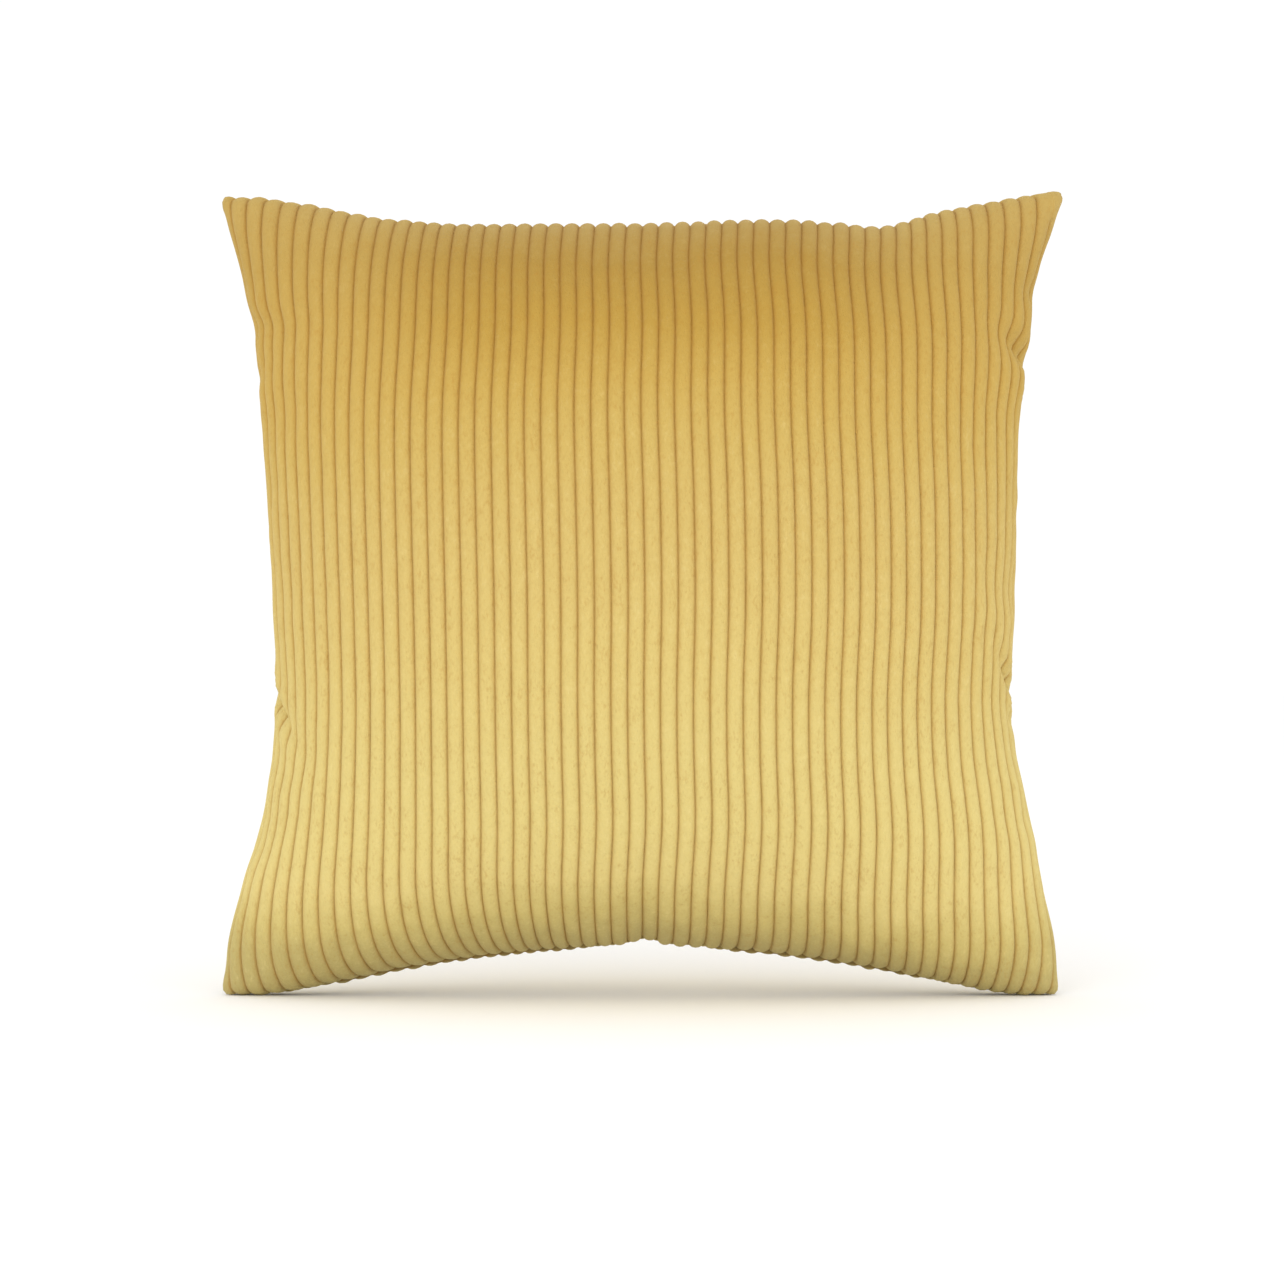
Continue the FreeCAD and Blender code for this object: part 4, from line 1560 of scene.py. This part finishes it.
@dataclass
class Zip:
    """The concealed zip in the bottom seam, which follows the seam's arc."""

    outline: StandingOutline
    half_length: float = 178 * MM
    tape_level: float = 7.75 * MM
    tape_inner: float = 1.2 * MM
    tape_outer: float = 12 * MM
    tape_thickness: float = 0.5 * MM
    stitch_out: float = 9.8 * MM
    stitch_level: float = 7.25 * MM
    stitch_length: float = 2.6 * MM
    stitch_gap: float = 0.6 * MM
    stitch_sunk: float = 0.1 * MM
    edge_wave: float = 0.12 * MM
    wave_from: float = 8 * MM
    tack_turns: int = 18
    tack_margin: float = 0.3 * MM
    tack_end: float = 2.8 * MM

    def arc(self, count: int, half: float, level: float, y: float) -> tuple[np.ndarray, np.ndarray]:
        """Points along the seam's arc at a height over the seam, and the directions up from it.

        Args:
            count: how many points.
            half: half the length of the run.
            level: height over the seam.
            y: distance from the seam plane.

        Returns:
            The points, and the unit vectors.
        """
        radius = self.outline.seam_radius()
        angle = np.linspace(-half, half, count) / radius
        up = np.stack([np.sin(angle), np.zeros(count), np.cos(angle)], axis=1)
        centre = np.array([0, y, self.outline.bottom_rise - radius])
        return centre + up * (radius + level), up

    def tape(self, side: Side, material: bpy.types.Material) -> bpy.types.Object:
        """One woven tape, with a beaded inner edge and a slightly wavy outer one.

        Args:
            side: front or back.
            material: the finish.

        Returns:
            The piece.
        """
        count, wide = 240, 9
        path, up = self.arc(count, self.half_length, self.tape_level, 0.0)
        out = np.linspace(self.tape_inner, self.tape_outer, wide)
        near_edge = smooth_step(out, self.wave_from, self.tape_outer)[None, :]
        wave = self.edge_wave * np.sin(np.arange(count) * 0.42)[:, None] * near_edge
        across = up[:, None] * wave[:, :, None] + np.array([0, 1, 0]) * (side.value * out)[None, :, None]
        face = up[:, None] + np.zeros((1, wide, 1))
        if side is Side.FRONT:
            across, face = across[:, ::-1], face[:, ::-1]
        points, faces = ribbon(path, across, -face, self.tape_thickness)
        name = side.name.lower()
        made = add_object("tape_" + name, points, faces, material)
        stand_for(made, "zip_tape_" + name)
        return made

    def stitching(self, side: Side, material: bpy.types.Material) -> bpy.types.Object:
        """The row that sews one tape to the cover.

        Args:
            side: front or back.
            material: the finish.

        Returns:
            The piece.
        """
        path, _ = self.arc(600, self.half_length, self.stitch_level, side.value * self.stitch_out)
        spool = Spool()
        spool.stitch(path, self.stitch_length, self.stitch_gap, np.array([0, 0, -self.stitch_sunk]))
        name = side.name.lower()
        return spool.make("tape_stitches_" + name, "zip_stitching_" + name, material, "sewing_thread")

    def bar_tacks(self, material: bpy.types.Material) -> bpy.types.Object:
        """The dense zigzag that closes the seam at each end of the zip.

        Args:
            material: the finish.

        Returns:
            The piece.
        """
        spool = Spool()
        low, high = (Vector(corner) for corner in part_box("zip_bar_tacks"))
        turns = self.tack_turns
        for way in (-1, 1):
            x = way * np.linspace(high.x - self.tack_margin, high.x - self.tack_end, turns)
            y = np.where(np.arange(turns) % 2 == 0, high.y, low.y) * 0.94
            spool.lay(np.stack([x, y, np.full(turns, (low.z + high.z) / 2)], axis=1))
        return spool.make("bar_tack_zigzag", "zip_bar_tacks", material, "sewing_thread")

    def make(self, finishes: dict[str, bpy.types.Material], nodes: dict) -> list:
        """Builds the soft parts and dresses the hard ones of the design.

        Args:
            finishes: every finish, by slot.
            nodes: the design's objects, by node name.

        Returns:
            The pieces, with the dressed parts of the design last.
        """
        pieces = []
        for side in Side:
            pieces.append(self.tape(side, finishes["zip_tape"]))
            pieces.append(self.stitching(side, finishes["sewing_thread"]))
        pieces.append(self.bar_tacks(finishes["sewing_thread"]))
        hard = {"zip_coil_front": "zip_coil", "zip_coil_back": "zip_coil", "zip_top_stops": "stop_metal",
                "zip_bottom_stop": "stop_metal", "zip_slider": "slider_enamel", "zip_pull": "slider_enamel"}
        for node, slot in hard.items():
            shown = nodes[node]
            shown.data.materials.clear()
            shown.data.materials.append(finishes[slot])
            pieces.append(shown)
        return pieces


# ---------------------------------------------------------------- pad

@dataclass
class Pad:
    """The inner pad: two ticking panels sewn round a lump of crimped fibre, with a blank label."""

    cover: StuffedForm
    wrinkles: dict
    inset: float = 15 * MM
    half_depth: float = 80.5 * MM
    edge: float = 1.8 * MM
    ticking: float = 0.6 * MM
    cells: int = 84
    pucker_pitch: float = 17 * MM
    pucker_depth: float = 1.1 * MM
    pucker_fade: float = 12 * MM
    wrinkle_share: float = 0.12
    stitch_length: float = 2.4 * MM
    stitch_gap: float = 0.5 * MM
    stitch_out: float = 0.25 * MM
    fill_clearance: float = 1.6 * MM
    fill_lump: float = 0.6 * MM
    label_lift: float = 0.35 * MM
    label_thickness: float = 0.2 * MM

    def form(self, closer: float = 0.0) -> StuffedForm:
        """The pad's form, drawn in by a distance.

        Args:
            closer: how much nearer to the middle it lies.

        Returns:
            The form.
        """
        inset = self.inset + closer
        line = replace(self.cover.outline, inset=inset, bottom_inset=inset - 1 * MM)
        depth = self.half_depth - closer
        return replace(self.cover, outline=line, half_depth=depth, edge=self.edge, leans=())

    def grid(self, side: Side, closer: float = 0.0) -> np.ndarray:
        """The ticking of one side, gathered along its seam.

        Args:
            side: front or back.
            closer: how much nearer to the middle it lies.

        Returns:
            The grid of points, first index across and second index up.
        """
        even = np.linspace(-1, 1, self.cells + 1)
        places = (even * 0.7 + np.sin(even * math.pi / 2) * 0.3 + 1) / 2
        points = self.form(closer).cloth(places, places, side)
        rough = self.wrinkles[side]
        read = resampler(rough.shape[0], places)
        points = points + np.einsum("ai,ijk,bj->abk", read, rough, read) * self.wrinkle_share
        length = 2 * (self.cover.outline.high.x - self.inset)
        from_side = np.minimum(places, 1 - places)[:, None] * length
        from_end = np.minimum(places, 1 - places)[None, :] * length
        beat = 2 * math.pi / self.pucker_pitch
        gather = 0
        for along, away in ((points[:, :, 2], from_side), (points[:, :, 0], from_end)):
            fade = np.exp(-away / self.pucker_fade) * smooth_step(away, 0, 3 * MM)
            gather = gather + np.sin(along * beat) * fade
        sunk = self.pucker_depth * (gather + 1.2)
        points = points - surface_normals(points, side) * sunk[:, :, None] * 0.5
        points[:, :, 1] = side.value * np.maximum(side.value * points[:, :, 1], 0.05 * MM)
        return points

    def panel(self, side: Side, material: bpy.types.Material) -> bpy.types.Object:
        """One closed ticking panel.

        Args:
            side: front or back.
            material: the finish.

        Returns:
            The piece.
        """
        outer = self.grid(side)
        inner = outer - surface_normals(outer, side) * self.ticking
        inner[:, :, 1] = side.value * np.maximum(side.value * inner[:, :, 1], 0.04 * MM)
        points, faces = closed_sheet(outer, inner, side is Side.BACK)
        name = side.name.lower()
        made = add_object("ticking_" + name, points, faces, material)
        stand_for(made, "pad_" + name + "_panel")
        return made

    def filling(self, material: bpy.types.Material) -> bpy.types.Object:
        """The lump of fibre: one closed, uneven body.

        Args:
            material: the finish.

        Returns:
            The piece.
        """
        random = np.random.default_rng(3)
        knots = 26
        lumps = random.normal(0, 1, (2, knots, knots))
        read = resampler(knots, np.linspace(0, 1, self.cells + 1))
        count = self.cells + 1
        numbers = {}
        points, faces = [], []
        for side in Side:
            grid = self.grid(side, closer=self.fill_clearance)
            bumpy = np.einsum("ai,ij,bj->ab", read, lumps[(side.value + 1) // 2], read)
            sunk = self.fill_lump * np.clip(bumpy + 1.5, 0, 3)
            grid = grid - surface_normals(grid, side) * sunk[:, :, None]
            for i in range(count):
                for j in range(count):
                    edge = i in (0, self.cells) or j in (0, self.cells)
                    key = (0 if edge else side.value, i, j)
                    if key not in numbers:
                        numbers[key] = len(points)
                        points.append((grid[i, j, 0], 0 if edge else grid[i, j, 1], grid[i, j, 2]))

            def at(i: int, j: int, way: int = side.value) -> int:
                """Vertex number of a grid point of this side."""
                return numbers.get((way, i, j), numbers.get((0, i, j)))

            for i in range(self.cells):
                for j in range(self.cells):
                    quad = [at(i, j), at(i + 1, j), at(i + 1, j + 1), at(i, j + 1)]
                    faces.append(quad if side is Side.FRONT else quad[::-1])
        made = add_object("crimped_fibre", np.array(points), faces, material)
        stand_for(made, "fibre_fill")
        return made

    def seam(self, material: bpy.types.Material) -> bpy.types.Object:
        """Stitches along the pad's edge.

        Args:
            material: the finish.

        Returns:
            The piece.
        """
        spool = Spool()
        line = self.form(-self.stitch_out).outline
        t = np.linspace(0, 1, 900)
        for a, b in ((0 * t, t), (t, 0 * t + 1), (0 * t + 1, 1 - t), (1 - t, 0 * t)):
            x, z = line.place(a, b)
            spool.stitch(np.stack([x, 0 * t, z], axis=1), self.stitch_length, self.stitch_gap)
        return spool.make("pad_stitches", "pad_seam_thread", material, "pad_thread")

    def label(self, material: bpy.types.Material) -> bpy.types.Object:
        """A blank satin label sewn to the pad's front.

        Args:
            material: the finish.

        Returns:
            The piece.
        """
        low, high = (Vector(corner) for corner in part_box("pad_label"))
        wide, tall = 16, 20
        x, z = np.meshgrid(np.linspace(low.x, high.x, wide), np.linspace(low.z, high.z, tall), indexing="ij")
        spot = self.form().lying_on(x, z, Side.FRONT)
        face = surface_normals(spot, Side.FRONT)
        spot = spot + face * self.label_lift
        centre = spot[:, tall // 2]
        points, faces = ribbon(centre, spot - centre[:, None], face, self.label_thickness)
        made = add_object("pad_label_satin", points, faces, material)
        stand_for(made, "pad_label")
        return made

    def make(self, finishes: dict[str, bpy.types.Material]) -> list:
        """Builds every piece of the pad.

        Args:
            finishes: every finish, by slot.

        Returns:
            The pieces.
        """
        pieces = [self.panel(side, finishes["pad_ticking"]) for side in Side]
        pieces.append(self.filling(finishes["fibre_wadding"]))
        pieces.append(self.seam(finishes["pad_thread"]))
        pieces.append(self.label(finishes["label_satin"]))
        return pieces


# ---------------------------------------------------------------- the room

@dataclass
class Studio:
    """Pale floor, soft light from in front, and the camera."""

    centre: Vector
    distance: float = 2.0
    lens: float = 109
    shift_up: float = -0.038
    white: tuple = (1, 1, 1, 1)
    glow: float = 1.03
    floor_half: float = 6.0

    def light(self, name: str, place: tuple, size: float, watts: float) -> None:
        """One soft square light, aimed at the pillow.

        Args:
            name: the light's name.
            place: where it hangs.
            size: length of its side.
            watts: its power.
        """
        data = bpy.data.lights.new(name, "AREA")
        data.size = size
        data.energy = watts
        lamp = bpy.data.objects.new(name, data)
        lamp.location = place
        lamp.rotation_euler = (self.centre - Vector(place)).to_track_quat("-Z", "Y").to_euler()
        bpy.context.scene.collection.objects.link(lamp)

    def make(self) -> None:
        """Builds floor, world, lights and camera."""
        paint = Paint("studio_floor")
        paint.set(Base_Color=self.white, Roughness=1.0, Specular_IOR_Level=0.0)
        mesh = bpy.data.meshes.new("floor")
        half = self.floor_half
        corners = [(-half, -half, 0), (half, -half, 0), (half, half, 0), (-half, half, 0)]
        mesh.from_pydata(corners, [], [(0, 1, 2, 3)])
        mesh.materials.append(paint.material)
        floor = bpy.data.objects.new("floor", mesh)
        bpy.context.scene.collection.objects.link(floor)
        floor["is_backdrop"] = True
        world = bpy.data.worlds.new("studio")
        world.use_nodes = True
        sky = world.node_tree.nodes["Background"]
        sky.inputs["Color"].default_value = self.white
        sky.inputs["Strength"].default_value = self.glow
        bpy.context.scene.world = world
        bpy.context.scene.view_settings.view_transform = "Standard"
        self.light("key", (-0.8, -2.1, 1.3), 1.0, 10)
        self.light("fill", (1.2, -1.9, 0.5), 1.4, 5)
        data = bpy.data.cameras.new("camera")
        data.lens = self.lens
        data.sensor_width = 36
        data.shift_y = self.shift_up
        camera = bpy.data.objects.new("camera", data)
        camera.location = (self.centre.x, -self.distance, self.centre.z)
        camera.rotation_euler = (math.pi / 2, 0, 0)
        bpy.context.scene.collection.objects.link(camera)
        bpy.context.scene.camera = camera


def all_finishes() -> dict[str, bpy.types.Material]:
    """Every finish, by the material slot of the design.

    Returns:
        The materials.
    """
    mustard, dark_mustard = linear(205, 170, 92), linear(158, 120, 52)
    tape, dark_tape = linear(202, 166, 90), linear(156, 118, 50)
    white, dark_white = linear(238, 236, 228), linear(198, 194, 184)
    ticking, dark_ticking = linear(240, 239, 233), linear(206, 204, 196)
    return {
        "corduroy": CorduroyFinish("corduroy_pile", wales=WALES, flat_side=FLAT_SIDE).material(),
        "sewing_thread": ThreadFinish("mustard_thread", mustard, dark_mustard).material(),
        "pad_thread": ThreadFinish("white_thread", white, dark_white).material(),
        "label_satin": SatinFinish("blank_satin").material(),
        "zip_tape": WovenFinish("mustard_tape", tape, dark_tape, 0.9 * MM, 0.6).material(),
        "zip_coil": NylonFinish("mustard_nylon").material(),
        "stop_metal": WireFinish("crimped_wire").material(),
        "slider_enamel": EnamelFinish("mustard_enamel").material(),
        "pad_ticking": WovenFinish("white_ticking", ticking, dark_ticking, 1.1 * MM).material(),
        "fibre_wadding": WaddingFinish("white_wadding").material(),
    }


def main() -> None:
    """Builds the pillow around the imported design."""
    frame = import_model()
    first_bounds = [list(corner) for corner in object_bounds()]
    low, high = (Vector(corner) for corner in first_bounds)
    bag = InflatedSquare()
    wrinkles = bag.wrinkles(bag.inflate())
    outline = StandingOutline(low, high)
    form = StuffedForm(outline, half_depth=84.5 * MM)
    finishes = all_finishes()
    pieces = Cover(form, wrinkles).make(finishes["corduroy"])
    pieces += Haberdashery(outline).make(finishes["sewing_thread"], finishes["label_satin"])
    pieces += Zip(outline).make(finishes, frame["nodes"])
    pieces += Pad(form, wrinkles).make(finishes)
    for piece in pieces:
        LOG.info("%s: %d faces, %s", piece.name, len(piece.data.polygons), piece.active_material.name)
    Studio((low + high) / 2).make()


if __name__ == "__main__":
    main()
